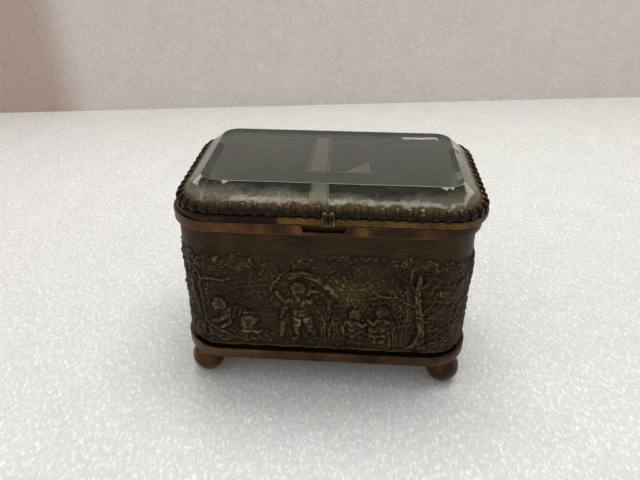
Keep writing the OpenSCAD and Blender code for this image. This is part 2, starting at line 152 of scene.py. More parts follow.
def outline_of(node, card=None):
    """The outline of a node that runs parallel to the card behind the wall."""
    low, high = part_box(node)
    half_w, half_d = (high.x - low.x) / 2 / MM, (high.y - low.y) / 2 / MM
    radius = CARD_RADIUS + (half_w - card.half_w if card else 0)
    return Outline((low.x + high.x) / 2 / MM, (low.y + high.y) / 2 / MM, half_w, half_d, radius)


def heights_of(node):
    low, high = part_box(node)
    return low.z / MM, high.z / MM


CARD = outline_of("wall_card")
WALL = CARD.grown(SHEET + FIT)
RING = outline_of("lid_ring", CARD)
GLASS = outline_of("bevelled_glass", CARD)
LINING = outline_of("wall_lining", CARD)


def srgb(code, alpha=1.0):
    """Turns an sRGB hex colour to Blender's linear one."""
    parts = [int(code[k:k + 2], 16) / 255 for k in (1, 3, 5)]
    linear = [p / 12.92 if p <= 0.04045 else ((p + 0.055) / 1.055) ** 2.4 for p in parts]
    return (*linear, alpha)


def colour(name, description, code):
    return FloatVectorProperty(
        name=name, description=description, subtype="COLOR", size=4, min=0, max=1,
        default=srgb(code))


def length(name, description, default, low=0.0, high=1.0):
    return FloatProperty(
        name=name, description=description, default=default, min=low, max=high,
        subtype="DISTANCE", unit="LENGTH", precision=5)


def rotation(name, description, default):
    return FloatProperty(
        name=name, description=description, default=default, subtype="ANGLE")


# ---------------------------------------------------------------- properties

class CASKET_PG_stage(bpy.types.PropertyGroup):
    """Camera, floor and light"""
    eye: FloatVectorProperty(
        name="Eye", description="Camera place from the casket's middle",
        subtype="TRANSLATION", unit="LENGTH", size=3, default=(0.00742, -0.15203, 0.1304))
    tilt: rotation("Tilt", "How far the camera looks down", 0.5552)
    turn: rotation("Turn", "How far the camera turns to the left", 0.067)
    roll: rotation("Roll", "Lean of the camera", 0.002)
    lens: FloatProperty(
        name="Lens", description="Focal length on a 36 mm wide sensor, in millimetres",
        default=32.0, min=10, max=200, unit="CAMERA")
    backdrop_y: length("Backdrop", "Distance of the backdrop behind the casket", 0.24)
    backdrop_turn: rotation("Backdrop turn", "How far the backdrop turns to the left", 0.15)
    floor: colour("Floor", "Foam sheet", "#E8E7E5")
    backdrop: colour("Backdrop colour", "Foam sheet hung behind", "#E6DED4")
    backdrop_shaded: colour("Shaded backdrop", "Left end of that sheet", "#C4AEA6")
    sky: colour("Room", "Light of the room", "#FBFAF8")


class CASKET_PG_relief(bpy.types.PropertyGroup):
    """Embossing of the wall"""
    grain: length("Grain", "Spacing of the embossed mesh", 0.00022, 0.0001, 0.002)
    height: FloatProperty(
        name="Height", description="Share of the full embossing height", default=1.0,
        min=0.1, max=1.2, subtype="FACTOR")


class CASKET_PG_lid(bpy.types.PropertyGroup):
    """Trim of the lid"""
    claws: IntProperty(
        name="Claws", description="Number of claws round the glass", default=76, min=40,
        max=90)
    claw_width: length("Claw width", "Width of one claw at its foot", 0.0017)
    claw_thickness: length("Claw thickness", "Thickness of a claw", 0.00045)
    milling: length("Milling", "Length of one notch of the ring's milled edge", 0.00095)


class CASKET_PG_finish(bpy.types.PropertyGroup):
    """Colours of the metals, the glass, the cloth and the paper"""
    patina: colour("Patina", "Dark toning in the hollows of the wall", "#1C160D")
    ground: colour("Ground", "Toned brass of the wall's plain ground", "#332717")
    warm_ground: colour("Warm ground", "Toned brass where hands hold the wall", "#48381D")
    rubbed: colour("Rubbed", "Brass rubbed bright on high points", "#91815A")
    brass: colour("Brass", "Aged brass of the rim, the plate and the feet", "#6E4A26")
    brass_dark: colour("Brass toning", "Brown toning on the aged brass", "#2E1D10")
    gilt: colour("Gilt", "Worn gilding of the lid's ring", "#7A5528")
    soot: colour("Soot", "Black toning on the lid", "#20170F")
    grime: colour("Grime", "Dried polish along the claws", "#54412B")
    bloom: colour("Bloom", "Pale residue on the glass", "#A8A189")
    cloth: colour("Cloth", "Dark cloth of the lining", "#323530")
    # faded cloth, which also paints the top of the lining lighter as painted light
    cloth_faded_and_lit: colour("Faded cloth", "The cloth where light has faded it", "#5E615A")
    paper: colour("Paper", "Old paper", "#89826C")


# ---------------------------------------------------------------- mesh helpers

def mesh_of(name, bm):
    """Ends a bmesh as a mesh."""
    mesh = bpy.data.meshes.new(name)
    bm.to_mesh(mesh)
    bm.free()
    return mesh


def placed(name, data):
    """An object of the scene that shows the data."""
    made = bpy.data.objects.new(name, data)
    bpy.context.scene.collection.objects.link(made)
    return made


def everything(bm):
    return bm.verts[:] + bm.edges[:] + bm.faces[:]


def coat(mesh, surface):
    """Makes one material the only one of a mesh."""
    mesh.materials.clear()
    mesh.materials.append(surface)


def piece(name, mesh, surface, body, replaces, smooth=True):
    """Ends a mesh or a bmesh, in metres, as a piece that rides on a body."""
    if isinstance(mesh, bmesh.types.BMesh):
        mesh = mesh_of(name, mesh)
    mesh.polygons.foreach_set("use_smooth", [smooth] * len(mesh.polygons))
    coat(mesh, surface)
    made = placed(name, mesh)
    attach(made, body)
    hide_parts(*replaces)
    return made


def coordinates(mesh):
    co = np.empty(len(mesh.vertices) * 3)
    mesh.vertices.foreach_get("co", co)
    return co.reshape(-1, 3)


def set_coordinates(mesh, co):
    mesh.vertices.foreach_set("co", co.ravel())
    mesh.update()


def merged(node):
    """A bmesh of a CAD node whose loose triangles are joined."""
    bm = bmesh.new()
    bm.from_mesh(frame["nodes"][node].data)
    bmesh.ops.remove_doubles(bm, verts=bm.verts, dist=0.002 * MM)
    return bm


def softened(node, name, surface, width, segments=3):
    """A merged copy of a CAD node, with its edges rounded by a live bevel."""
    bm = merged(node)
    bmesh.ops.dissolve_limit(
        bm, angle_limit=math.radians(0.5), verts=bm.verts, edges=bm.edges,
        use_dissolve_boundaries=False)
    made = piece(name, bm, surface, frame["nodes"][node]["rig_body"], (node,))
    bevel = made.modifiers.new("Rounded edges", "BEVEL")
    bevel.width = width * MM
    bevel.segments = segments
    bevel.limit_method = "ANGLE"
    bevel.angle_limit = math.radians(30)
    bevel.harden_normals = True
    return made


def filleted(corners, radii, segments=4):
    """An open profile with rounded corners.

    A point just off each corner's curve keeps the shading of the straight stretches flat.
    """
    points = [corners[0]]
    for k in range(1, len(corners) - 1):
        before, here, after = (Vector(corners[k + j]) for j in (-1, 0, 1))
        reach = radii[k - 1]
        first = here + (before - here).normalized() * reach
        last = here + (after - here).normalized() * reach
        points.append(here + (before - here).normalized() * reach * 1.4)
        for j in range(segments + 1):
            t = j / segments
            points.append(first.lerp(here, t).lerp(here.lerp(last, t), t))
        points.append(here + (after - here).normalized() * reach * 1.4)
    return points + [corners[-1]]


def sweep(outline, profile, step, corner_steps, closed=True):
    """Carries a profile of (outward, height) points round an outline.

    The profile is in millimetres from the outline. The path starts at the front left,
    runs to the right and ends where it began. Where the profile is open, flat faces
    close the two holes that it leaves.
    """
    bm = bmesh.new()
    start = Vector((outline.x - outline.run_x / 2, outline.y - outline.half_d, 0))
    verts = [bm.verts.new(start + Vector((0, -p[0], p[1]))) for p in profile]
    edges = [bm.edges.new((verts[k - 1], verts[k]))
             for k in range(0 if closed else 1, len(verts))]
    last = verts + edges
    for k, centre in enumerate(outline.corners()):
        run = outline.run_y if k % 2 else outline.run_x
        steps = max(1, round(run / step))
        along = Vector((math.cos(k * math.pi / 2), math.sin(k * math.pi / 2), 0))
        for middle, turn, move, count in (
                ((0, 0, 0), 0, along * run / steps, steps),
                ((*centre, 0), math.pi / 2, (0, 0, 0), corner_steps)):
            last = bmesh.ops.spin(
                bm, geom=last, cent=middle, axis=(0, 0, 1), angle=turn, dvec=move,
                steps=count, use_merge=False, use_duplicate=False)["geom_last"]
    bmesh.ops.remove_doubles(bm, verts=bm.verts, dist=0.001)
    bmesh.ops.holes_fill(bm, edges=[e for e in bm.edges if e.is_boundary], sides=0)
    bmesh.ops.recalc_face_normals(bm, faces=bm.faces)
    bmesh.ops.scale(bm, vec=(MM, MM, MM), verts=bm.verts)
    return bm


def traced(mesh, outline):
    """A swept mesh's points in millimetres, their places along an outline, their
    distances from it and the way that it faces there."""
    co = coordinates(mesh) / MM
    s = outline.along(co[:, 0], co[:, 1])
    x, y, turn = outline.at(s)
    return co, s, np.hypot(co[:, 0] - x, co[:, 1] - y), turn


def push_out(mesh, co, turn, by):
    """Sets a mesh's points, moved outwards by so many millimetres."""
    co[:, 0] += np.cos(turn) * by
    co[:, 1] += np.sin(turn) * by
    set_coordinates(mesh, co * MM)


def store(mesh, name, values):
    """Keeps one number for each point of a mesh, for its material to read."""
    layer = mesh.attributes.get(name) or mesh.attributes.new(name, "FLOAT", "POINT")
    layer.data.foreach_set("value", np.asarray(values, np.float32))


def blurred(grid, radius, step):
    """A grid blurred by a bell of that radius, in millimetres; its first axis is a ring."""
    reach = max(1, int(round(2.5 * radius / step)))
    weights = np.exp(-0.5 * (np.arange(-reach, reach + 1) * step / radius) ** 2)
    weights /= weights.sum()
    for axis in (0, 1):
        pad = [(0, 0), (0, 0)]
        pad[axis] = (reach, reach)
        wide = np.pad(grid, pad, mode="edge" if axis else "wrap")
        size = grid.shape[axis]
        grid = sum(
            w * np.take(wide, range(k, k + size), axis=axis) for k, w in enumerate(weights))
    return grid


# ---------------------------------------------------------------- materials

def add(tree, kind, inputs=None, output=0, **settings):
    """Adds one shader node with its settings and links, and gives one of its outputs."""
    made = tree.nodes.new("ShaderNode" + kind)
    for name, value in settings.items():
        setattr(made, name, value)
    for name, value in (inputs or {}).items():
        socket = made.inputs[name]
        if isinstance(value, bpy.types.NodeSocket):
            tree.links.new(value, socket)
        else:
            socket.default_value = value
    return made.outputs[output] if made.outputs else made


def material(name):
    """A new material and its empty node tree."""
    made = bpy.data.materials.new(name)
    made.use_nodes = True
    made.node_tree.nodes.clear()
    return made, made.node_tree


def finished(made, surface):
    """Ends a material with the shader that it shows."""
    add(made.node_tree, "OutputMaterial", {"Surface": surface})
    return made


def place_in_mm(tree, scale=(1, 1, 1), turn=(0, 0, 0)):
    """Object coordinates in millimetres, stretched by a scale."""
    here = add(tree, "TexCoord", output="Object")
    return add(tree, "Mapping", {
        "Vector": here, "Scale": [s / MM for s in scale], "Rotation": turn})


def worn_edges(tree, radius):
    """Where an edge turns, 1: there the rounded normal parts from the true one."""
    soft = add(tree, "Bevel", {"Radius": radius * MM}, samples=4)
    true = add(tree, "NewGeometry", output="Normal")
    dot = add(tree, "VectorMath", {0: soft, 1: true}, output="Value", operation="DOT_PRODUCT")
    return add(tree, "MapRange", {0: dot, 1: 0.995, 2: 0.9})


def aged_brass(name, bright, dark, blotch_width, toned_share, edge_share=0.6, painted_shade_right=0.0,
               spots=(), gloss=(0.28, 0.5)):
    """Lacquered sheet brass, toned brown with age.

    Soft blotches of toning lie over the metal with small dark spots in them, its edges
    are rubbed bright, and fine scratches run along it. A painted shade can make it darker
    to the right, by that share over 40 mm. Spots are (x, y, z, reach) where it is rubbed bright.
    """
    made, tree = material(name)
    place = place_in_mm(tree)
    blotch = add(tree, "TexNoise", {
        "Vector": place, "Scale": 1 / blotch_width, "Detail": 5, "Roughness": 0.6})
    specks = add(tree, "TexNoise", {
        "Vector": place, "Scale": 1 / 0.7, "Detail": 3, "Roughness": 0.6})
    scratch = add(tree, "TexNoise", {
        "Vector": place_in_mm(tree, (0.3, 0.3, 2)), "Scale": 1 / 0.6, "Detail": 4})
    toned = add(tree, "MapRange", {0: blotch, 1: toned_share + 0.2, 2: toned_share - 0.2})
    spot = add(tree, "MapRange", {0: specks, 1: 0.5, 2: 0.66, 3: 0, 4: 0.8})
    toned = add(tree, "Math", {0: toned, 1: spot}, operation="MAXIMUM")
    # painted shade: the metal is painted darker towards the right
    if painted_shade_right:
        right = add(tree, "SeparateXYZ", {0: place}, output="X")
        right = add(tree, "MapRange", {0: right, 1: -40, 2: 40, 3: -painted_shade_right, 4: painted_shade_right})
        toned = add(tree, "Math", {0: toned, 1: right}, operation="ADD")
    rubbed = add(tree, "Math", {0: worn_edges(tree, 0.35), 1: edge_share}, operation="MULTIPLY")
    toned = add(tree, "Math", {0: toned, 1: rubbed}, operation="SUBTRACT", use_clamp=True)
    for x, y, z, reach in spots:
        away = add(tree, "VectorMath", {0: place, 1: (x, y, z)}, output="Value",
                   operation="DISTANCE")
        away = add(tree, "Math", {0: away, 1: blotch}, operation="ADD")
        worn = add(tree, "MapRange", {
            0: away, 1: reach + 0.9, 2: 0.5 * reach + 0.4, 3: 0, 4: 0.5})
        toned = add(tree, "Math", {0: toned, 1: worn}, operation="SUBTRACT", use_clamp=True)
    tint = add(tree, "MixRGB", {"Fac": toned, "Color1": bright, "Color2": dark})
    streak = add(tree, "MapRange", {0: scratch, 1: 0.35, 2: 0.65, 3: 0.88, 4: 1.12})
    tint = add(tree, "HueSaturation", {"Color": tint, "Value": streak})
    relief = add(tree, "Bump", {"Height": scratch, "Distance": 0.012 * MM})
    relief = add(tree, "Bump", {"Height": specks, "Distance": 0.03 * MM, "Normal": relief})
    return finished(made, add(tree, "BsdfPrincipled", {
        "Base Color": tint, "Metallic": 0.75, "Normal": relief,
        "Roughness": add(tree, "MapRange", {0: toned, 1: 0, 2: 1, 3: gloss[0], 4: gloss[1]})}))


def stamped_brass(name, finish):
    """Thin stamped sheet brass, chemically darkened and then rubbed on its high points.

    Hollows stay nearly black, the plain ground is a brown olive, and what stands proud
    shines through as dull gold. Where hands hold it, the gold spreads.
    """
    made, tree = material(name)
    place = place_in_mm(tree)
    crest = add(tree, "Attribute", output="Fac", attribute_name="crest")
    handled = add(tree, "Attribute", output="Fac", attribute_name="handled")
    blotch = add(tree, "TexNoise", {
        "Vector": place, "Scale": 1 / 7, "Detail": 5, "Roughness": 0.62})
    grit = add(tree, "TexNoise", {
        "Vector": place, "Scale": 1 / 0.4, "Detail": 3, "Roughness": 0.65})
    open_ground = add(tree, "MapRange", {0: crest, 1: 0.18, 2: 0.5},
                      interpolation_type="SMOOTHSTEP")
    ground = add(tree, "MixRGB", {
        "Fac": open_ground, "Color1": finish.patina, "Color2": finish.ground})
    brushed = add(tree, "TexNoise", {
        "Vector": place_in_mm(tree, (0.15, 0.15, 1.6)), "Scale": 1 / 0.6, "Detail": 4})
    cloudy = add(tree, "Math", {0: blotch, 1: brushed}, operation="ADD")
    cloudy = add(tree, "MapRange", {0: cloudy, 1: 0.84, 2: 1.16, 3: 0.7, 4: 1.42})
    ground = add(tree, "HueSaturation", {"Color": ground, "Value": cloudy})
    warm = add(tree, "Math", {0: handled, 1: blotch}, operation="MULTIPLY")
    warm = add(tree, "MapRange", {0: warm, 1: 0.08, 2: 0.55}, interpolation_type="SMOOTHSTEP")
    ground = add(tree, "MixRGB", {"Fac": warm, "Color1": ground, "Color2": finish.warm_ground})
    high = add(tree, "MapRange", {0: crest, 1: 0.54, 2: 0.92}, interpolation_type="SMOOTHSTEP")
    patchy = add(tree, "MapRange", {0: blotch, 1: 0.38, 2: 0.6, 3: 0.3, 4: 1.0})
    gritty = add(tree, "MapRange", {0: grit, 1: 0.25, 2: 0.6, 3: 0.35, 4: 1.0})
    held = add(tree, "MapRange", {0: handled, 1: 0.0, 2: 0.8, 3: 0.5, 4: 0.95})
    rub = add(tree, "Math", {0: high, 1: patchy}, operation="MULTIPLY")
    rub = add(tree, "Math", {0: rub, 1: gritty}, operation="MULTIPLY")
    rub = add(tree, "Math", {0: rub, 1: held}, operation="MULTIPLY")
    tint = add(tree, "MixRGB", {"Fac": rub, "Color1": ground, "Color2": finish.rubbed})
    fine = add(tree, "MapRange", {0: grit, 1: 0.2, 2: 0.8, 3: 0.7, 4: 1.3})
    tint = add(tree, "HueSaturation", {"Color": tint, "Value": fine})
    return finished(made, add(tree, "BsdfPrincipled", {
        "Base Color": tint, "Metallic": 0.85,
        "Roughness": add(tree, "MapRange", {0: rub, 1: 0, 2: 1, 3: 0.52, 4: 0.3}),
        "Normal": add(tree, "Bump", {"Height": grit, "Distance": 0.05 * MM})}))


def worn_gilding(name, finish):
    """Brass strip with gilding that has flaked to black toning.

    Gold is left in flecks on what stands proud, and one stretch is worn to black.
    """
    made, tree = material(name)
    place = place_in_mm(tree)
    flecks = add(tree, "TexNoise", {
        "Vector": place, "Scale": 1 / 0.7, "Detail": 5, "Roughness": 0.75})
    patches = add(tree, "TexNoise", {"Vector": place, "Scale": 1 / 5, "Detail": 4})
    proud = add(tree, "Attribute", output="Fac", attribute_name="proud")
    worn = add(tree, "Attribute", output="Fac", attribute_name="worn")
    left = add(tree, "Math", {0: proud, 1: 0.6}, operation="MULTIPLY")
    left = add(tree, "Math", {0: left, 1: flecks}, operation="ADD")
    left = add(tree, "Math", {0: left, 1: patches}, operation="ADD")
    left = add(tree, "Math", {0: left, 1: worn}, operation="SUBTRACT")
    bare = add(tree, "MapRange", {0: left, 1: 1.5, 2: 0.7})
    soot = add(tree, "MapRange", {0: worn, 1: 0.7, 2: 0.95})
    black = add(tree, "Math", {0: bare, 1: soot}, operation="MAXIMUM")
    brown = add(tree, "MapRange", {0: flecks, 1: 0.4, 2: 0.7})
    brown = add(tree, "Math", {0: brown, 1: soot}, operation="SUBTRACT", use_clamp=True)
    toned = add(tree, "MixRGB", {
        "Fac": brown, "Color1": finish.soot, "Color2": finish.warm_ground})
    tint = add(tree, "MixRGB", {"Fac": black, "Color1": finish.gilt, "Color2": toned})
    return finished(made, add(tree, "BsdfPrincipled", {
        "Base Color": tint, "Metallic": 0.8,
        "Roughness": add(tree, "MapRange", {0: black, 1: 0, 2: 1, 3: 0.32, 4: 0.55}),
        "Normal": add(tree, "Bump", {"Height": flecks, "Distance": 0.06 * MM})}))


def blackened_brass(name, finish, bright):
    """Pressed brass strip, blackened, with brown and gold where fingers rub it; on the claw tips
    the gold is also a painted highlight.
    """
    made, tree = material(name)
    place = place_in_mm(tree)
    blotch = add(tree, "TexNoise", {
        "Vector": place, "Scale": 1 / 2.2, "Detail": 5, "Roughness": 0.65})
    tips = add(tree, "Attribute", output="Fac", attribute_name="proud")
    brown = add(tree, "MapRange", {0: blotch, 1: 0.4, 2: 0.68})
    tint = add(tree, "MixRGB", {
        "Fac": brown, "Color1": finish.soot, "Color2": finish.ground})
    # gold where the proud attribute is high: rubbing, and on the claw tips partly a painted
    # highlight
    rub = add(tree, "Math", {0: tips, 1: blotch}, operation="MULTIPLY")
    rub = add(tree, "MapRange", {0: rub, 1: 0.42, 2: 0.62, 3: 0, 4: 0.8})
    tint = add(tree, "MixRGB", {"Fac": rub, "Color1": tint, "Color2": bright})
    return finished(made, add(tree, "BsdfPrincipled", {
        "Base Color": tint, "Metallic": 0.75, "Specular IOR Level": 0.4,
        "Roughness": add(tree, "MapRange", {0: blotch, 1: 0.3, 2: 0.7, 3: 0.3, 4: 0.5}),
        "Normal": add(tree, "Bump", {"Height": blotch, "Distance": 0.04 * MM})}))


def plate_glass(name, finish):
    """Ground and polished plate glass of a faint green.

    Old polish has dried to a brown line along the claws, black at its foot, and to a
    pale, broken bloom above it, thickest near the middle of the long sides. Dust and a few
    hair scratches lie on the face. The underside is clean.
    """
    low, high = heights_of("bevelled_glass")
    made, tree = material(name)
    place = place_in_mm(tree)
    height = add(tree, "SeparateXYZ", {0: place}, output="Z")
    ragged = add(tree, "TexNoise", {
        "Vector": place, "Scale": 1 / 1.6, "Detail": 5, "Roughness": 0.7})
    fine = add(tree, "TexNoise", {
        "Vector": place, "Scale": 1 / 0.35, "Detail": 3, "Roughness": 0.7})
    edge = add(tree, "MapRange", {0: ragged, 1: 0.3, 2: 0.7, 3: -0.6, 4: 0.6})
    level = add(tree, "Math", {0: height, 1: edge}, operation="ADD")
    brown = add(tree, "MapRange", {0: level, 1: low + 3.7, 2: low + 2.8})
    black = add(tree, "MapRange", {0: level, 1: low + 2.5, 2: low + 1.7, 3: 0.0, 4: 0.8})
    drifts = add(tree, "TexNoise", {"Vector": place, "Scale": 1 / 13, "Detail": 3})
    drifts = add(tree, "MapRange", {0: drifts, 1: 0.38, 2: 0.62, 3: -0.6, 4: 1.1})
    bloom = add(tree, "Math", {0: level, 1: drifts}, operation="ADD")
    bloom = add(tree, "MapRange", {0: bloom, 1: low + 6.0, 2: low + 3.5, 3: 0.0, 4: 0.78})
    side = add(tree, "SeparateXYZ", {0: place}, output="X")
    side = add(tree, "Math", {0: side, 1: -4.0}, operation="SUBTRACT")
    side = add(tree, "Math", {0: side}, operation="ABSOLUTE")
    side = add(tree, "MapRange", {0: side, 1: 14, 2: 38, 3: 1.0, 4: 0.62})
    bloom = add(tree, "Math", {0: bloom, 1: side}, operation="MULTIPLY")
    haze = add(tree, "MapRange", {0: height, 1: high - 0.05, 2: high - 0.5, 3: 0.0, 4: 0.07})
    bloom = add(tree, "Math", {0: bloom, 1: haze}, operation="MAXIMUM")
    speckle = add(tree, "MapRange", {0: fine, 1: 0.3, 2: 0.68, 3: 0.2, 4: 1.0})
    bloom = add(tree, "Math", {0: bloom, 1: speckle}, operation="MULTIPLY")
    cover = add(tree, "Math", {0: brown, 1: bloom}, operation="MAXIMUM")
    dust = add(tree, "TexNoise", {
        "Vector": place, "Scale": 1 / 0.3, "Detail": 2, "Roughness": 0.8})
    dust = add(tree, "MapRange", {0: dust, 1: 0.65, 2: 0.73, 3: 0.0, 4: 0.5})
    hair = add(tree, "TexNoise", {"Vector": place, "Scale": 1 / 11, "Detail": 1})
    hair = add(tree, "Math", {0: hair, 1: 0.5}, operation="SUBTRACT")
    hair = add(tree, "Math", {0: hair}, operation="ABSOLUTE")
    hair = add(tree, "MapRange", {0: hair, 1: 0.0, 2: 0.0022, 3: 0.4, 4: 0.0})
    broken = add(tree, "MapRange", {0: drifts, 1: 0.5, 2: 0.8})
    hair = add(tree, "Math", {0: hair, 1: broken}, operation="MULTIPLY")
    dust = add(tree, "Math", {0: dust, 1: hair}, operation="MAXIMUM")
    cover = add(tree, "Math", {0: cover, 1: dust}, operation="MAXIMUM")
    underside = add(tree, "MapRange", {0: height, 1: low + 0.4, 2: low + 0.1})
    cover = add(tree, "Math", {0: cover, 1: underside}, operation="SUBTRACT", use_clamp=True)
    stain = add(tree, "MixRGB", {
        "Fac": brown, "Color1": finish.bloom, "Color2": finish.grime})
    stain = add(tree, "MixRGB", {"Fac": black, "Color1": stain, "Color2": finish.soot})
    clear = add(tree, "BsdfPrincipled", {
        "Base Color": srgb("#F0F7F2"), "IOR": 1.51, "Roughness": 0.0,
        "Specular Tint": srgb("#D3D6D3"), "Transmission Weight": 1.0})
    dirt = add(tree, "BsdfPrincipled", {
        "Base Color": stain, "Roughness": 0.8, "Specular IOR Level": 0.12})
    return finished(made, add(tree, "MixShader", {0: cover, 1: clear, 2: dirt}))


def old_paper(name, finish):
    """Rag paper, browned, with a dark line of dried glue along its long edges."""
    made, tree = material(name)
    place = place_in_mm(tree)
    fibres = add(tree, "TexNoise", {
        "Vector": place, "Scale": 1 / 0.5, "Detail": 4, "Roughness": 0.7})
    stain = add(tree, "TexNoise", {"Vector": place, "Scale": 1 / 3, "Detail": 4})
    glue = add(tree, "Attribute", output="Fac", attribute_name="glue")
    dash = add(tree, "TexNoise", {"Vector": place, "Scale": 1 / 1.2, "Detail": 2})
    glue = add(tree, "Math", {0: glue, 1: dash}, operation="ADD")
    line = add(tree, "MapRange", {0: glue, 1: 1.3, 2: 1.42, 3: 0, 4: 0.9})
    tint = add(tree, "MixRGB", {
        "Fac": add(tree, "MapRange", {0: stain, 1: 0.5, 2: 0.7, 3: 0, 4: 0.5}),
        "Color1": finish.paper, "Color2": srgb("#85765A")})
    tint = add(tree, "MixRGB", {"Fac": line, "Color1": tint, "Color2": srgb("#4C301D")})
    tint = add(tree, "HueSaturation", {
        "Color": tint,
        "Value": add(tree, "MapRange", {0: fibres, 1: 0.2, 2: 0.8, 3: 0.85, 4: 1.1})})
    return finished(made, add(tree, "BsdfPrincipled", {
        "Base Color": tint, "Roughness": 0.85,
        "Normal": add(tree, "Bump", {"Height": fibres, "Distance": 0.03 * MM})}))


def dark_sateen(name, finish):
    """Cotton sateen, nearly black, faded in patches and painted lighter towards its top, a painted
    light.

    Its threads are drawn 0.57 mm apart, coarser than real ones, so that they show.
    """
    made, tree = material(name)
    place = place_in_mm(tree)
    # on a flat face, a diagonal wave turns once every sqrt(2) pi / 10 of its unit
    scale = math.sqrt(2) * math.pi / 10 / 0.5687
    along, across = (
        add(tree, "TexWave", {"Vector": way, "Scale": scale, "Distortion": 0.8},
            bands_direction="DIAGONAL") for way in (place, place_in_mm(tree, (1, -1, 1))))
    weave = add(tree, "Math", {0: along, 1: across}, operation="MULTIPLY")
    faded = add(tree, "TexNoise", {"Vector": place, "Scale": 1 / 9, "Detail": 4})
    height = add(tree, "SeparateXYZ", {0: place}, output="Z")
    # painted light: the cloth is painted lighter towards its top, where light falls into the
    # casket
    top = add(tree, "MapRange", {0: height, 1: 46, 2: 55, 3: 0, 4: 0.3},
              interpolation_type="SMOOTHSTEP")
    fade = add(tree, "MapRange", {0: faded, 1: 0.4, 2: 0.7, 3: 0, 4: 0.5})
    fade = add(tree, "Math", {0: fade, 1: top}, operation="ADD", use_clamp=True)
    tint = add(tree, "MixRGB", {
        "Fac": fade, "Color1": finish.cloth, "Color2": finish.cloth_faded_and_lit})
    tint = add(tree, "HueSaturation", {
        "Color": tint, "Value": add(tree, "MapRange", {0: weave, 1: 0, 2: 1, 3: 0.8, 4: 1.3})})
    return finished(made, add(tree, "BsdfPrincipled", {
        "Base Color": tint, "Roughness": 0.85, "Sheen Weight": 0.3, "Sheen Roughness": 0.4,
        "Normal": add(tree, "Bump", {"Height": weave, "Distance": 0.06 * MM})}))


def strawboard(name):
    """Strawboard, a greyish yellow card with short fibres in it."""
    made, tree = material(name)
    fibres = add(tree, "TexNoise", {
        "Vector": place_in_mm(tree, (1, 1, 3)), "Scale": 1 / 0.8, "Detail": 4, "Roughness": 0.7})
    tint = add(tree, "MixRGB", {
        "Fac": fibres, "Color1": srgb("#7D6C4F"), "Color2": srgb("#A08D6B")})
    return finished(made, add(tree, "BsdfPrincipled", {
        "Base Color": tint, "Roughness": 0.9,
        "Normal": add(tree, "Bump", {"Height": fibres, "Distance": 0.05 * MM})}))


def foam_sheet(name, tint, cell, painted_glints, shaded=None):
    """Expanded polyethylene sheet: soft white cells, whose drawn tops catch the light as glints
    painted into its colour.

    It may turn to a shaded colour at its left end.
    """
    made, tree = material(name)
    place = place_in_mm(tree)
    if shaded:
        left = add(tree, "SeparateXYZ", {0: place}, output="X")
        left = add(tree, "MapRange", {0: left, 1: -170, 2: -200},
                   interpolation_type="SMOOTHSTEP")
        tint = add(tree, "MixRGB", {"Fac": left, "Color1": tint, "Color2": shaded})
    cells = add(tree, "TexVoronoi", {"Vector": place, "Scale": 1 / cell}, feature="SMOOTH_F1")
    soft = add(tree, "TexNoise", {"Vector": place, "Scale": 1 / 16, "Detail": 4})
    drawn = add(tree, "TexNoise", {
        "Vector": place_in_mm(tree, (1.4, 0.7, 1), (0, 0, 0.6)), "Scale": 1 / (0.8 * cell),
        "Detail": 3, "Roughness": 0.65, "Distortion": 0.6})
    shade = add(tree, "MapRange", {0: soft, 1: 0.3, 2: 0.7, 3: 0.93, 4: 0.985})
    dip = add(tree, "MapRange", {0: cells, 1: 0.2, 2: 0.7, 3: 0.02, 4: -0.03})
    # painted glints: the drawn tops are painted brighter, a painted highlight
    lit = add(tree, "MapRange", {0: drawn, 1: 0.5, 2: 0.68, 3: 0, 4: painted_glints})
    value = add(tree, "Math", {0: shade, 1: dip}, operation="ADD")
    value = add(tree, "Math", {0: value, 1: lit}, operation="ADD")
    height = add(tree, "Math", {0: cells, 1: drawn}, operation="SUBTRACT")
    return finished(made, add(tree, "BsdfPrincipled", {
        "Base Color": add(tree, "HueSaturation", {"Color": tint, "Value": value}),
        "Roughness": 0.45, "Specular IOR Level": 0.4,
        "Normal": add(tree, "Bump", {"Height": height, "Distance": 0.13 * cell * MM})}))


# ---------------------------------------------------------------- embossing

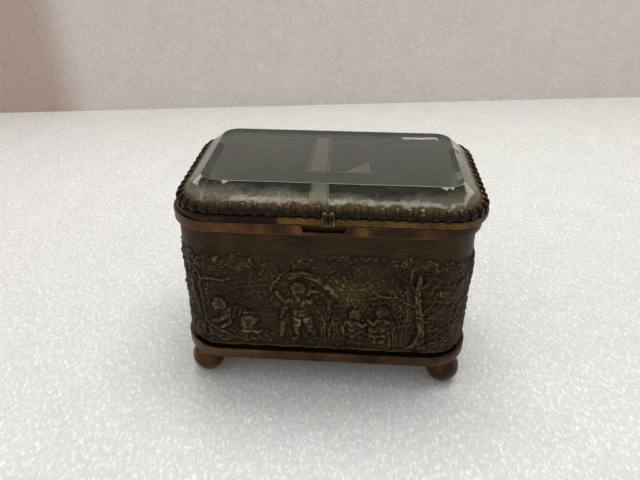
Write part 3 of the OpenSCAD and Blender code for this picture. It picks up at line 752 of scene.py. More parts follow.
class Relief:
    """Heights on the whole wall: s runs round it and z up it, in millimetres.

    The ground, the foliage and the figures are layers, each laid over the one before.
    """

    def __init__(self, whole, z_low, z_high, grain):
        self.whole = whole
        self.columns = int(round(whole / grain))
        self.step = whole / self.columns
        rows = round((z_high - z_low) / grain)
        self.z = np.arange(z_low, z_high + self.step / 2, (z_high - z_low) / rows)
        self.ground = np.zeros((self.columns, len(self.z)))
        self.handled = np.zeros_like(self.ground)
        self.layer = None
        # the punch never strikes twice alike: a coarse and a finer unevenness
        noise = np.random.default_rng(5).standard_normal(self.ground.shape)
        self.uneven = sum(
            share * grid / grid.std() for share, grid in (
                (0.15, blurred(noise, 0.8, self.step)), (0.12, blurred(noise, 0.35, self.step))))

    def window(self, s, z, reach):
        """The part of the grid within reach of a point."""
        columns = np.arange(math.ceil((s - reach) / self.step), math.ceil((s + reach) / self.step))
        low, high = np.searchsorted(self.z, (z - reach, z + reach))
        if not len(columns) or low >= high:
            return None
        cut = np.ix_(columns % self.columns, np.arange(low, high))
        return cut, (columns * self.step)[:, None], self.z[None, low:high]

    def lay(self, cut, height, melt):
        """Joins a height to the layer, melting the two where they meet."""
        here = self.layer[cut]
        joined = np.maximum(here, height)
        if melt:
            near = np.clip(melt - np.abs(here - height), 0, None) / melt
            both = (here > 0) & (height > 0)
            joined = np.where(both, joined + near * near * melt / 4, joined)
        self.layer[cut] = joined

    def dome(self, s, z, half_s, half_z, height, turn=0.0, melt=0.0, steep=0.6):
        """An oval boss, turned by an angle in degrees."""
        found = self.window(s, z, max(half_s, half_z))
        if found is None:
            return
        cut, ss, zz = found
        cos, sin = math.cos(math.radians(turn)), math.sin(math.radians(turn))
        u = ((ss - s) * cos + (zz - z) * sin) / half_s
        v = (-(ss - s) * sin + (zz - z) * cos) / half_z
        inside = np.clip(1 - u * u - v * v, 0, None)
        self.lay(cut, height * inside ** steep, melt)

    def along(self, first, last, reach):
        """The grid near a stretch: its part, the share along it and the distance off it."""
        (s0, z0), (s1, z1) = first, last
        span = math.hypot(s1 - s0, z1 - z0)
        found = self.window((s0 + s1) / 2, (z0 + z1) / 2, span / 2 + reach)
        if found is None or span == 0:
            return None
        cut, ss, zz = found
        t = np.clip(((ss - s0) * (s1 - s0) + (zz - z0) * (z1 - z0)) / span ** 2, 0, 1)
        return cut, t, np.hypot(ss - s0 - t * (s1 - s0), zz - z0 - t * (z1 - z0))

    def rod(self, points, r_first, r_last, height, melt=0.0, steep=0.6):
        """A rounded rod along a run of points, tapering from one radius to the other."""
        count = len(points) - 1
        for k in range(count):
            ra = r_first + (r_last - r_first) * k / count
            rb = r_first + (r_last - r_first) * (k + 1) / count
            found = self.along(points[k], points[k + 1], max(ra, rb))
            if found:
                cut, t, away = found
                inside = np.clip(1 - (away / (ra + (rb - ra) * t)) ** 2, 0, None)
                self.lay(cut, height * inside ** steep, melt)

    def crease(self, points, radius, depth):
        """A groove pressed into the layer along a run of points."""
        for first, last in zip(points, points[1:]):
            found = self.along(first, last, radius)
            if found:
                cut, _, away = found
                self.layer[cut] *= 1 - depth * np.clip(1 - (away / radius) ** 2, 0, 1)

    def begin(self):
        self.layer = np.zeros_like(self.ground)

    def end(self, moat=0.0, keep=0.0):
        """Lays the layer over the ground, which sinks a little all round it.

        With keep, that share of the ground under the layer still shows through it.
        """
        shape = (self.layer > 0.02).astype(float)
        if moat:
            near = blurred(shape, 0.7, self.step)
            self.ground = self.ground * (1 - moat * np.clip(near * 1.7, 0, 1))
            self.ground -= 0.12 * moat * np.clip(near * 2 * (1 - shape), 0, 1)
        self.ground = np.maximum(self.ground, self.layer + keep * self.ground * shape)

    def handle(self, s, z, half_s, half_z, share):
        """A soft patch where hands have kept the brass bright."""
        away = np.arange(self.columns) * self.step - s
        away = np.mod(away + self.whole / 2, self.whole) - self.whole / 2
        patch = np.exp(-(away[:, None] / half_s) ** 2 - ((self.z - z) / half_z) ** 2)
        self.handled = np.maximum(self.handled, share * patch)


def strokes(relief, rng, s_low, s_high, z_low, z_high, count, long, thin, turn, spread,
            height, waves=0.0):
    """Chased strokes over a patch, each a thin ridge that leans near to one angle."""
    relief.begin()
    for _ in range(count):
        s, z = rng.uniform(s_low, s_high), rng.uniform(z_low, z_high)
        angle = math.radians(turn + rng.uniform(-spread, spread) + waves * math.sin(s * 0.7 + z))
        half = long * rng.uniform(0.5, 1.0) / 2
        bow = half * rng.uniform(-0.35, 0.35)
        across = (-math.sin(angle) * bow, math.cos(angle) * bow)
        ends = [(s + k * half * math.cos(angle) + (1 - k * k) * across[0],
                 z + k * half * math.sin(angle) + (1 - k * k) * across[1]) for k in (-1, 0, 1)]
        relief.rod(ends, thin * rng.uniform(0.8, 1.2), thin * 0.6, height * rng.uniform(0.5, 1.0))
    relief.end(keep=0.6)


def stipple(relief, rng, s_low, s_high, z_low, z_high, count, size, height):
    """Punched dots that stand for far leaves."""
    relief.begin()
    for _ in range(count):
        relief.dome(rng.uniform(s_low, s_high), rng.uniform(z_low, z_high),
                    size * rng.uniform(0.6, 1.3), size * rng.uniform(0.5, 0.9),
                    height * rng.uniform(0.4, 1.0), turn=rng.uniform(0, 180))
    relief.end(keep=0.5)


def leaves(relief, rng, s, z, half_s, half_z, size, height, thick=4.5):
    """A mass of foliage: leaves in tiers over a swelling."""
    relief.begin()
    relief.dome(s, z, half_s * 0.95, half_z * 0.95, height * 0.6, steep=0.5)
    for k in range(int(thick * half_s * half_z)):
        angle = rng.uniform(0, 2 * math.pi)
        far = math.sqrt(rng.uniform(0, 1))
        here = s + half_s * far * math.cos(angle), z + half_z * far * math.sin(angle)
        turn = math.degrees(angle) + rng.uniform(-50, 50)
        long = size * rng.uniform(0.6, 1.25)
        lift = height * (1.1 - 0.35 * far) * rng.uniform(0.65, 1.0)
        if k % 2:
            relief.dome(*here, long, long * 0.4, lift, turn)
        else:
            curl = [(here[0] + long * 0.8 * math.cos(math.radians(turn + bend)),
                     here[1] + long * 0.8 * math.sin(math.radians(turn + bend)))
                    for bend in range(0, 271, 45)]
            relief.rod(curl, 0.26, 0.2, lift)
    relief.layer *= 1 + relief.uneven
    relief.end(moat=0.5, keep=0.3)


def thicket(relief, rng, masses, size, height, thick=4.5, start=0.0, facing=1):
    """Several masses of foliage, each (s, z, half width, half height)."""
    for s, z, half_s, half_z in masses:
        leaves(relief, rng, start + s * facing, z, half_s, half_z, size, height, thick)


def wavy(s_low, s_high, z, swing, wave, count):
    """Points of a wavy line."""
    return [(s, z + swing * math.sin(2 * math.pi * s / wave + z))
            for s in (s_low + (s_high - s_low) * k / count for k in range(count + 1))]


def trunk(relief, rng, s, foot, top, lean, width):
    """A trunk with ridges of bark and spread roots."""
    relief.begin()
    bend = [(s + lean * t + 0.8 * math.sin(6 * t), foot + (top - foot) * t)
            for t in (k / 10 for k in range(11))]
    relief.rod(bend, width, width * 0.35, 0.75, steep=0.45)
    for side in (-0.8, -0.45, -0.1, 0.25, 0.65):
        ridge = [(p[0] + side * width * (1 - 0.65 * k / 10) + rng.uniform(-0.22, 0.22), p[1])
                 for k, p in enumerate(bend)]
        relief.rod(ridge, width * 0.2, width * 0.12, rng.uniform(0.85, 1.1))
    for k in (2, 5, 7):
        relief.dome(bend[k][0] + rng.uniform(-0.6, 0.6) * width, bend[k][1], 0.8, 0.55, 1.1)
    for root in (-2.4, -1.5, -0.6, 0.7, 1.6, 2.6):
        relief.rod([(s + root * 0.3, foot + 3.4), (s + root * width * 0.45, foot + 1.0),
                    (s + root * width * 0.95, foot - 0.2)], width * 0.34, width * 0.14, 0.85)
    relief.layer *= 1 + relief.uneven
    relief.end(moat=0.7)


def branch(relief, s, z, reach, angle, depth=2):
    """A bare forked branch."""
    tip = (s + reach * math.cos(math.radians(angle)), z + reach * math.sin(math.radians(angle)))
    bend = ((s + tip[0]) / 2, (z + tip[1]) / 2 - 0.06 * reach)
    relief.rod([(s, z), bend, tip], 0.26 + 0.12 * depth, 0.2 + 0.1 * depth, 0.75)
    if depth:
        branch(relief, *tip, reach * 0.75, angle + 26, depth - 1)
        branch(relief, *tip, reach * 0.7, angle - 36, depth - 1)


def reeds(relief, rng, s_low, s_high, foot, tall, count):
    """Upright blades that fan out from the ground."""
    relief.begin()
    for k in range(count):
        s = s_low + (s_high - s_low) * (k + rng.uniform(0, 0.8)) / count
        high = tall * rng.uniform(0.5, 1.0)
        lean = rng.uniform(-0.35, 0.35) * high
        blade = [(s + lean * out, foot + high * up)
                 for out, up in ((0, 0), (0.2, 0.5), (0.75, 0.85), (1.3, 0.92))]
        relief.rod(blade, 0.38, 0.16, rng.uniform(0.5, 0.8))
    relief.end(moat=0.25, keep=0.2)


def rocks(relief, rng, s_low, s_high, foot, count):
    """A bank of rounded stones."""
    relief.begin()
    for k in range(count):
        s = s_low + (s_high - s_low) * (k + rng.uniform(0.1, 0.9)) / count
        relief.dome(s, foot + rng.uniform(0.2, 2.4), rng.uniform(1.0, 2.2), rng.uniform(0.6, 1.3),
                    rng.uniform(0.35, 0.75), turn=rng.uniform(-35, 35), steep=0.4)
    relief.end(moat=0.3)


# Each figure is a list of domes, limbs and creases, in millimetres from its foot. A dome
# is (x, z, half width, half height, height), a limb is (points, first radius, last radius,
# height) and a crease is (points, radius, depth).
STANDING_CHILD = (
    ("dome", -0.3, 13.0, 2.7, 2.9, 0.8), ("dome", -1.2, 13.8, 1.4, 1.3, 1.0),
    ("dome", 1.1, 13.7, 1.3, 1.25, 0.95), ("dome", 0.2, 10.8, 2.5, 2.3, 1.05),
    ("dome", 0.9, 8.8, 2.7, 1.9, 0.95), ("dome", 2.2, 9.0, 1.5, 1.7, 1.0),
    ("limb", ((0.0, 8.6), (-0.7, 5.3)), 1.9, 1.35, 1.05),
    ("limb", ((2.2, 8.4), (3.3, 5.0)), 1.9, 1.35, 0.95),
    ("dome", -0.8, 5.3, 1.3, 1.0, 1.1), ("dome", 3.2, 5.1, 1.3, 1.0, 1.0),
    ("limb", ((-0.8, 5.0), (-0.2, 1.5)), 1.35, 0.75, 0.9),
    ("limb", ((3.4, 4.8), (4.6, 1.8)), 1.35, 0.75, 0.85),
    ("limb", ((-0.2, 1.0), (-1.9, 0.5)), 0.75, 0.6, 0.8),
    ("limb", ((4.7, 1.4), (6.0, 1.0)), 0.75, 0.6, 0.75),
    ("limb", ((-2.0, 14.4), (-3.9, 14.3), (-5.7, 16.8)), 1.3, 0.75, 0.95),
    ("dome", -6.0, 17.3, 0.95, 0.8, 0.9), ("dome", -2.2, 14.5, 1.35, 1.2, 1.0),
    ("limb", ((-2.1, 13.9), (-4.2, 11.2), (-4.9, 8.8)), 1.1, 0.75, 0.75),
    ("limb", ((1.8, 14.2), (3.6, 14.6), (5.4, 16.6)), 1.2, 0.8, 0.85),
    ("limb", ((-0.2, 15.2), (-0.3, 16.4)), 0.9, 0.9, 0.8),
    ("crease", ((-2.4, 12.4), (0.1, 11.9), (2.2, 12.6)), 0.5, 0.5),
    ("crease", ((-2.0, 9.7), (0.6, 8.9), (3.6, 9.9)), 0.5, 0.5),
    ("crease", ((1.0, 9.2), (1.1, 6.2)), 0.45, 0.6),
    ("crease", ((0.0, 13.9), (0.1, 12.3)), 0.4, 0.4),
    ("crease", ((-2.2, 5.6), (0.5, 5.3)), 0.4, 0.45),
    ("crease", ((2.0, 5.4), (4.6, 5.0)), 0.4, 0.45),
    ("crease", ((-1.3, 1.7), (0.8, 1.6)), 0.4, 0.4),
    ("crease", ((3.6, 2.1), (5.6, 2.0)), 0.4, 0.4),
    ("crease", ((-2.7, 12.9), (-2.0, 15.6)), 0.4, 0.5),
    ("crease", ((2.4, 12.9), (2.0, 15.6)), 0.4, 0.5),
    ("crease", ((-4.4, 13.6), (-3.8, 15.4)), 0.35, 0.4),
)
CROUCHING_CHILD = (
    ("limb", ((-3.2, 7.8), (0.4, 7.8), (3.0, 6.0)), 2.4, 2.7, 0.85),
    ("dome", -2.6, 8.1, 1.9, 1.7, 0.95), ("dome", 0.6, 8.3, 2.4, 1.9, 1.0),
    ("dome", 3.6, 6.0, 2.4, 2.7, 0.95),
    ("dome", 2.2, 3.7, 2.1, 3.2, 1.22), ("dome", 1.6, 1.4, 1.3, 1.0, 1.15),
    ("limb", ((1.8, 1.3), (5.0, 0.9)), 1.1, 0.75, 0.85),
    ("limb", ((5.1, 0.8), (6.4, 1.2)), 0.7, 0.5, 0.75),
    ("limb", ((-3.4, 7.0), (-5.2, 5.0), (-7.4, 4.4)), 1.25, 0.75, 1.05),
    ("limb", ((-2.4, 6.4), (-2.9, 3.9), (-5.0, 2.4)), 1.15, 0.7, 0.8),
    ("dome", -7.7, 4.3, 0.8, 0.6, 1.0), ("dome", -5.2, 2.2, 0.75, 0.55, 0.8),
    ("crease", ((-0.4, 5.6), (1.0, 7.2), (3.4, 7.6), (5.2, 6.6)), 0.5, 0.55),
    ("crease", ((-0.9, 6.0), (-0.3, 8.2), (0.5, 10.2)), 0.4, 0.5),
    ("crease", ((0.9, 7.6), (1.5, 8.8), (2.2, 9.8)), 0.4, 0.45),
    ("crease", ((-2.1, 6.0), (-1.7, 9.8)), 0.4, 0.5),
    ("crease", ((0.4, 2.1), (3.4, 2.2)), 0.4, 0.5),
    ("crease", ((-5.9, 5.8), (-4.8, 4.2)), 0.35, 0.4),
    ("crease", ((2.2, 5.4), (3.6, 1.6)), 0.35, 0.3),
)
SEATED_CHILD = (
    ("dome", 0.0, 6.6, 2.0, 2.7, 0.85), ("dome", -0.6, 7.7, 1.2, 1.1, 1.0),
    ("dome", 0.9, 7.6, 1.15, 1.1, 1.0), ("dome", 0.5, 4.9, 2.0, 1.9, 1.1),
    ("dome", 0.2, 3.2, 2.5, 1.6, 0.95), ("limb", ((0.8, 3.5), (3.7, 4.3)), 1.5, 1.15, 1.1),
    ("dome", 3.9, 4.2, 1.1, 1.1, 1.2), ("limb", ((4.0, 4.0), (4.2, 1.1)), 1.0, 0.6, 0.95),
    ("limb", ((4.2, 0.8), (5.5, 0.6)), 0.55, 0.42, 0.8),
    ("limb", ((0.5, 2.6), (3.0, 2.0), (5.6, 2.6)), 1.35, 0.62, 0.9),
    ("limb", ((1.5, 8.0), (3.3, 6.7), (5.0, 8.0)), 0.9, 0.56, 1.0),
    ("limb", ((-1.6, 8.0), (-3.0, 5.8), (-2.6, 3.4)), 0.9, 0.56, 0.9),
    ("crease", ((-1.6, 6.2), (0.3, 5.9), (1.9, 6.4)), 0.4, 0.5),
    ("crease", ((-2.2, 4.1), (0.4, 3.8), (1.8, 5.0)), 0.4, 0.5),
    ("crease", ((1.2, 3.1), (4.6, 3.2)), 0.4, 0.55),
    ("crease", ((3.0, 5.0), (4.8, 3.4)), 0.35, 0.4),
    ("crease", ((1.6, 8.9), (1.9, 6.9)), 0.35, 0.45),
    ("crease", ((-1.9, 8.8), (-1.7, 6.6)), 0.35, 0.5),
)


def figure(relief, parts, s, foot, size=1.0, facing=1):
    """One plump child, drawn from its parts; facing is 1 or -1."""
    def at(point):
        return (s + facing * size * point[0], foot + size * point[1])

    relief.begin()
    melt = 0.35
    for kind, *part in parts:
        if kind == "dome":
            ps, pz, half_s, half_z, height = part
            relief.dome(*at((ps, pz)), half_s * size, half_z * size, height, melt=melt)
        elif kind == "limb":
            points, r_first, r_last, height = part
            relief.rod([at(p) for p in points], r_first * size, r_last * size, height, melt)
        else:
            points, radius, depth = part
            relief.crease([at(p) for p in points], radius * size, depth)
    relief.layer *= 1 + relief.uneven
    relief.end(moat=0.95)


def head(relief, rng, s, z, size=1.0, facing=1):
    """A child's head: skull, cheek, brow, nose, chin and a cap of curls."""
    relief.begin()
    relief.dome(s, z, 2.0 * size, 2.25 * size, 1.0, steep=0.5)
    for ahead, up, half_s, half_z, height in (
            (0.7, -0.7, 0.95, 0.85, 1.15), (0.9, 0.6, 1.05, 0.5, 1.18),
            (1.65, -0.1, 0.36, 0.5, 1.1), (0.9, -1.7, 0.55, 0.42, 1.0)):
        relief.dome(s + facing * ahead * size, z + up * size, half_s * size, half_z * size,
                    height, melt=0.2)
    row = 13
    for k in range(2 * row):
        angle = math.radians(62 + 170 * (k % row + rng.uniform(0, 1)) / row)
        if facing < 0:
            angle = math.pi - angle
        far = (1.9 if k < row else 1.2) * size * rng.uniform(0.92, 1.05)
        relief.dome(s - facing * 0.1 + far * math.cos(angle), z + 0.2 + far * math.sin(angle),
                    0.46 * size, 0.38 * size, rng.uniform(0.9, 1.15), turn=rng.uniform(0, 180),
                    melt=0.12)
    relief.end(moat=0.9)


def wing(relief, s, z, size, facing, lift):
    """A short wing of three rows of feathers."""
    for row, reach in enumerate((5.2, 3.9, 2.6)):
        relief.begin()
        for k in range(6 - row):
            angle = math.radians(lift + 14 * k - 5 * row)
            tip = (s + facing * reach * size * math.cos(angle), z + reach * size * math.sin(angle))
            relief.rod([(s, z), tip], 0.25 * size, 0.5 * size, 0.4 + 0.16 * row)
        relief.end(moat=0.4)


def scarf(relief, points, width, folds, height=0.85):
    """A blown scarf: folds side by side along a run of points."""
    relief.begin()
    relief.rod(points, width, width * 0.7, height * 0.5, steep=0.4)
    for k in range(folds):
        side = width * (2 * (k + 0.5) / folds - 1) * 0.85
        fold = [(p[0] + side * 0.35, p[1] + side * (1 - 0.12 * j)) for j, p in enumerate(points)]
        relief.rod(fold, 0.34, 0.2, height)
    relief.layer *= 1 + relief.uneven
    relief.end(moat=0.6)


def garland(relief, rng, points, size=0.7):
    """A rope of little leaves and flowers."""
    relief.begin()
    for (s0, z0), (s1, z1) in zip(points, points[1:]):
        steps = max(2, int(math.hypot(s1 - s0, z1 - z0) / (size * 0.6)))
        for k in range(steps):
            t = k / steps
            relief.dome(s0 + (s1 - s0) * t + rng.uniform(-0.3, 0.3),
                        z0 + (z1 - z0) * t + rng.uniform(-0.3, 0.3),
                        size * 0.7, size * 0.42, rng.uniform(0.7, 1.05),
                        turn=rng.uniform(0, 180))
    relief.end(moat=0.7)


def country(relief, rng):
    """What runs all round the wall: hills, far woods, turf and the border line."""
    whole = relief.whole
    ground_line = 15.0
    relief.begin()
    for z, swing, waves in ((37.6, 0.8, 27), (35.4, 0.5, 19), (32.9, 0.8, 14), (29.5, 0.7, 22)):
        relief.rod(wavy(0, whole, z, swing, whole / waves, 12 * waves), 0.26, 0.26, 0.26)
    relief.end()
    strokes(relief, rng, 0, whole, 19, 45, int(whole * 12), 2.4, 0.27, 20, 80, 0.42, 30)
    strokes(relief, rng, 0, whole, 15, 24, int(whole * 7), 2.1, 0.27, 60, 70, 0.5, 20)
    relief.begin()
    for _ in range(int(whole * 2.4)):
        relief.dome(whole * rng.uniform(0, 1), rng.uniform(14.9, 18.2), rng.uniform(0.6, 1.5),
                    rng.uniform(0.25, 0.5), rng.uniform(0.3, 0.7), turn=rng.uniform(-70, 70))
    relief.rod([(0, ground_line), (whole, ground_line)], 1.3, 1.3, 0.3, steep=0.4)
    relief.rod(wavy(0, whole, 14.1, 0.15, whole / 31, 300), 0.45, 0.45, 0.6)
    relief.end()


def front_scene(relief, rng):
    """Children at play between two trees."""
    # left end: a tree, a fallen bough and a looped vine
    strokes(relief, rng, -44, -33, 15, 38, 190, 5.0, 0.3, 88, 14, 0.6)
    trunk(relief, rng, -36.8, 16, 40, -0.5, 1.7)
    thicket(relief, rng, ((-38.5, 42.0, 4.6, 3.4), (-32.0, 42.6, 4.4, 2.4),
                          (-24.5, 43.4, 4.6, 2.2), (-41, 36, 2.4, 3.0)), 0.9, 0.9)
    relief.begin()
    relief.rod([(-34.4, 22.4), (-30.5, 19.4), (-25.0, 16.4)], 0.75, 0.5, 0.75, steep=0.45)
    relief.rod([(-33.8, 24.0), (-29.5, 20.6), (-26.0, 18.6)], 0.4, 0.3, 0.6)
    relief.rod([(-35.2, 37.3), (-32.0, 37.6), (-28.0, 37.0)], 0.5, 0.26, 0.7)
    relief.rod([(-35.8, 40.0), (-37.2, 38.2), (-36.2, 36.0), (-35.0, 35.4), (-34.6, 37.4),
                (-35.8, 40.0)], 0.36, 0.36, 0.8)
    relief.rod([(-35.3, 35.6), (-34.8, 28.0), (-34.2, 23.0)], 0.42, 0.38, 0.7)
    relief.end(moat=0.5)

    # a winged child who crouches on the rocks
    rocks(relief, rng, -30, -14, 15.0, 10)
    leaves(relief, rng, -16.0, 23.5, 3.6, 3.4, 0.65, 0.55)
    leaves(relief, rng, -18.5, 30.5, 3.0, 1.6, 0.6, 0.4)
    strokes(relief, rng, -24, -12, 15.5, 20, 60, 2.4, 0.3, 35, 40, 0.5)
    wing(relief, -25.0, 27.6, 1.05, 1, 12)
    figure(relief, CROUCHING_CHILD, -24.6, 18.2, 1.0)
    head(relief, rng, -30.2, 28.8, 0.98, -1)

    # a standing child under a blown scarf, with a garland and a stump
    stipple(relief, rng, -4, 20, 35.5, 46.5, 560, 0.5, 0.6)
    leaves(relief, rng, 12.0, 42.2, 5.5, 2.6, 0.7, 0.6)
    leaves(relief, rng, 1.5, 43.0, 5.5, 1.9, 0.6, 0.5)
    leaves(relief, rng, 17.5, 38.5, 3.4, 3.6, 0.7, 0.6)
    strokes(relief, rng, -2, 8, 16, 30, 110, 3.6, 0.32, 75, 40, 0.6, 25)
    reeds(relief, rng, -1.0, 6.0, 16, 13, 14)
    scarf(relief, ((-9.5, 39.4), (-6.0, 40.4), (-2.0, 39.2), (1.4, 36.2), (3.4, 33.2)), 1.3, 4)
    scarf(relief, ((-4.2, 34.4), (-1.5, 34.0), (1.2, 31.4), (1.8, 28.0)), 1.4, 4, 0.7)
    garland(relief, rng, (
        (-11.6, 40.2), (-12.6, 38.6), (-14.3, 36.6), (-14.6, 34.6), (-14.2, 32.4), (-15.6, 30.2)))
    relief.begin()
    relief.rod([(-11.2, 25.6), (-11.9, 21.5), (-12.4, 18.0)], 1.15, 0.8, 0.75, steep=0.45)
    relief.dome(-11.1, 25.9, 1.4, 0.7, 0.95)
    relief.end(moat=0.5)
    figure(relief, STANDING_CHILD, -7.2, 16.4, 1.0)
    head(relief, rng, -7.4, 35.4, 0.98, -1)

    # two seated children who face each other
    rocks(relief, rng, 2, 22, 15.2, 12)
    strokes(relief, rng, 3, 22, 15.5, 21, 120, 2.2, 0.3, 60, 60, 0.55)
    leaves(relief, rng, 22.5, 23.0, 2.6, 4.0, 0.7, 0.6)
    figure(relief, SEATED_CHILD, 8.2, 17.0, 0.9, 1)
    head(relief, rng, 9.2, 27.0, 0.85, 1)
    figure(relief, SEATED_CHILD, 17.4, 17.6, 0.95, -1)
    head(relief, rng, 16.4, 28.2, 0.9, -1)

    # right end: a bare tree and deep foliage that runs round both corners
    strokes(relief, rng, 18, 26, 19, 38, 130, 4.6, 0.3, 115, 35, 0.65, 20)
    strokes(relief, rng, 0, 24, 17, 33, 150, 4.2, 0.28, 70, 55, 0.6, 25)
    reeds(relief, rng, 19.0, 25.0, 16, 11, 9)
    trunk(relief, rng, 27.4, 15.5, 41, -1.0, 1.5)
    relief.begin()
    branch(relief, 25.6, 31.0, 6.0, 152)
    branch(relief, 26.2, 35.0, 4.8, 122)
    branch(relief, 27.0, 37.5, 4.4, 55, 1)
    branch(relief, 26.5, 28.0, 4.0, 40, 1)
    relief.end(moat=0.4)
    strokes(relief, rng, 29, 46, 15, 44, 420, 4.0, 0.32, 35, 30, 0.6, 25)
    thicket(relief, rng, ((26.0, 44.6, 4.8, 2.0), (34.0, 42.0, 5.4, 3.2),
                          (36.5, 35.0, 4.6, 3.6), (34.0, 27.5, 4.2, 3.6),
                          (37.5, 20.5, 4.2, 4.0)), 0.9, 0.85, 3.0)
    relief.begin()
    relief.dome(45.3, 38.6, 2.2, 3.2, 1.2)
    relief.dome(45.6, 27.5, 1.5, 2.2, 0.9)
    relief.end(moat=0.4)
    thicket(relief, rng, ((45.4, 38.4, 2.6, 3.0), (42.4, 25.0, 1.5, 3.4),
                          (45.0, 27.0, 1.6, 2.4), (-43.0, 41.6, 1.8, 2.0),
                          (-42.4, 33.0, 1.6, 3.0)), 0.9, 1.15, 4.0)

    # where hands keep it bright
    for patch in ((8.0, 35.0, 9.0, 6.0, 1.0), (-7.0, 28.0, 5.0, 9.0, 0.6),
                  (-22.5, 22.0, 3.0, 4.0, 0.9), (-26.0, 49.0, 18.0, 4.0, 0.3),
                  (-29.0, 30.0, 3.5, 3.5, 0.4), (8.0, 21.0, 5.0, 4.0, 0.4)):
        relief.handle(*patch)


def side_scene(relief, rng, middle, facing):
    """One child with a garland between bushes and a tree."""
    strokes(relief, rng, middle - 23, middle + 23, 16, 40, 420, 3.4, 0.3, 70, 60, 0.45, 25)
    stipple(relief, rng, middle - 14, middle + 10, 36, 46, 320, 0.5, 0.5)
    trunk(relief, rng, middle + 12 * facing, 15.5, 41, -1.2 * facing, 1.5)
    thicket(relief, rng, (
        (13, 42.5, 6.0, 3.2), (6, 43.6, 4.4, 2.0), (19, 36, 4.2, 5.0), (19, 24, 4.0, 5.0),
        (-14, 30, 5.4, 7.0), (-15, 42, 5.0, 3.0), (-18, 21, 4.0, 4.0)),
        0.85, 0.8, 3.6, middle, facing)
    rocks(relief, rng, middle - 10, middle + 10, 15.2, 12)
    reeds(relief, rng, middle + 3, middle + 9, 16, 10, 10)
    wing(relief, middle - 2.2 * facing, 31.0, 1.1, facing, 12)
    garland(relief, rng, [(middle - s * facing, z) for s, z in (
        (8.2, 36), (10.0, 33), (10.4, 29.5), (9.4, 26), (7.6, 23.6))])
    figure(relief, STANDING_CHILD, middle - 2.6 * facing, 16.4, 1.0, facing)
    head(relief, rng, middle - 2.8 * facing, 35.4, 0.98, -facing)
    relief.handle(middle, 28, 9, 9, 0.8)


def back_scene(relief, rng, middle):
    """Two children who hold a garland, with a tree at either end."""
    strokes(relief, rng, middle - 46, middle + 46, 16, 40, 800, 3.4, 0.3, 80, 60, 0.42, 25)
    stipple(relief, rng, middle - 20, middle + 20, 37, 46, 520, 0.5, 0.5)
    for side in (-1, 1):
        trunk(relief, rng, middle + side * 30, 15.5, 41, -side, 1.6)
        thicket(relief, rng, (
            (32, 42.5, 5.4, 3.2), (24, 43.6, 4.6, 2.0), (37, 34, 4.2, 5.0),
            (37, 22, 4.2, 5.0), (24.5, 21.5, 4.2, 4.0)), 0.85, 0.8, 3.6, middle, side)
        wing(relief, middle + side * 13.4, 30.5, 1.1, -side, 12)
    leaves(relief, rng, middle, 19.5, 6.5, 3.0, 0.8, 0.7)
    rocks(relief, rng, middle - 18, middle + 18, 15.2, 20)
    garland(relief, rng, [
        (middle + 9.6 * t, 26.0 + 8.0 * t * t) for t in (-1, -0.7, -0.35, 0, 0.35, 0.7, 1)], 0.9)
    for side in (-1, 1):
        figure(relief, STANDING_CHILD, middle + side * 15.5, 16.4, 1.0, side)
        head(relief, rng, middle + side * 15.7, 35.4, 0.98, -side)
    relief.handle(middle, 28, 20, 9, 0.7)


def frieze(settings, scenes):
    """The embossing all round: its heights, and where it stands proud, as grids."""
    z_low, z_high = heights_of("embossed_wall")
    relief = Relief(WALL.whole, z_low, z_high, settings.grain / MM)
    rng = np.random.default_rng(2)
    country(relief, rng)
    for draw in scenes:
        draw(relief, rng)
    step = relief.step
    grain = rng.standard_normal(relief.ground.shape)
    heights = blurred(relief.ground, 0.12, step) * settings.height

    # the ground is worked all over, and much less in the plain band above the scenes
    band, fade, plain = 47, 3, 0.25
    worked = np.clip((band - relief.z) / fade, plain, 1)[None, :]
    rough = blurred(grain, 0.26, step)
    heights += 0.035 * worked * rough / rough.std()
    chased = blurred(rng.standard_normal(grain.shape), 0.55, step)
    chased = np.clip(1 - np.abs(chased) / chased.std() * 1.1, 0, 1)
    heights += 0.13 * np.clip(worked - plain, 0, 1) * chased
    dents = blurred(grain, 2.4, step)
    heights += 0.05 * dents / dents.std()

    # it runs out flat where the tray and the rim hold the sheet
    border = (np.clip((relief.z - z_low - 0.5) / 1.5, 0, 1)
              * np.clip((z_high - 2.6 - relief.z) / 2, 0, 1))
    deepest, proudest = -0.2, 1.25
    heights = np.clip(heights, deepest, proudest) * border[None, :]
    fine = heights - blurred(heights, 0.55, step)
    broad = heights - blurred(heights, 2.2, step)
    return relief, heights, np.clip(0.5 + 1.4 * fine + 0.12 * broad, 0, 1)


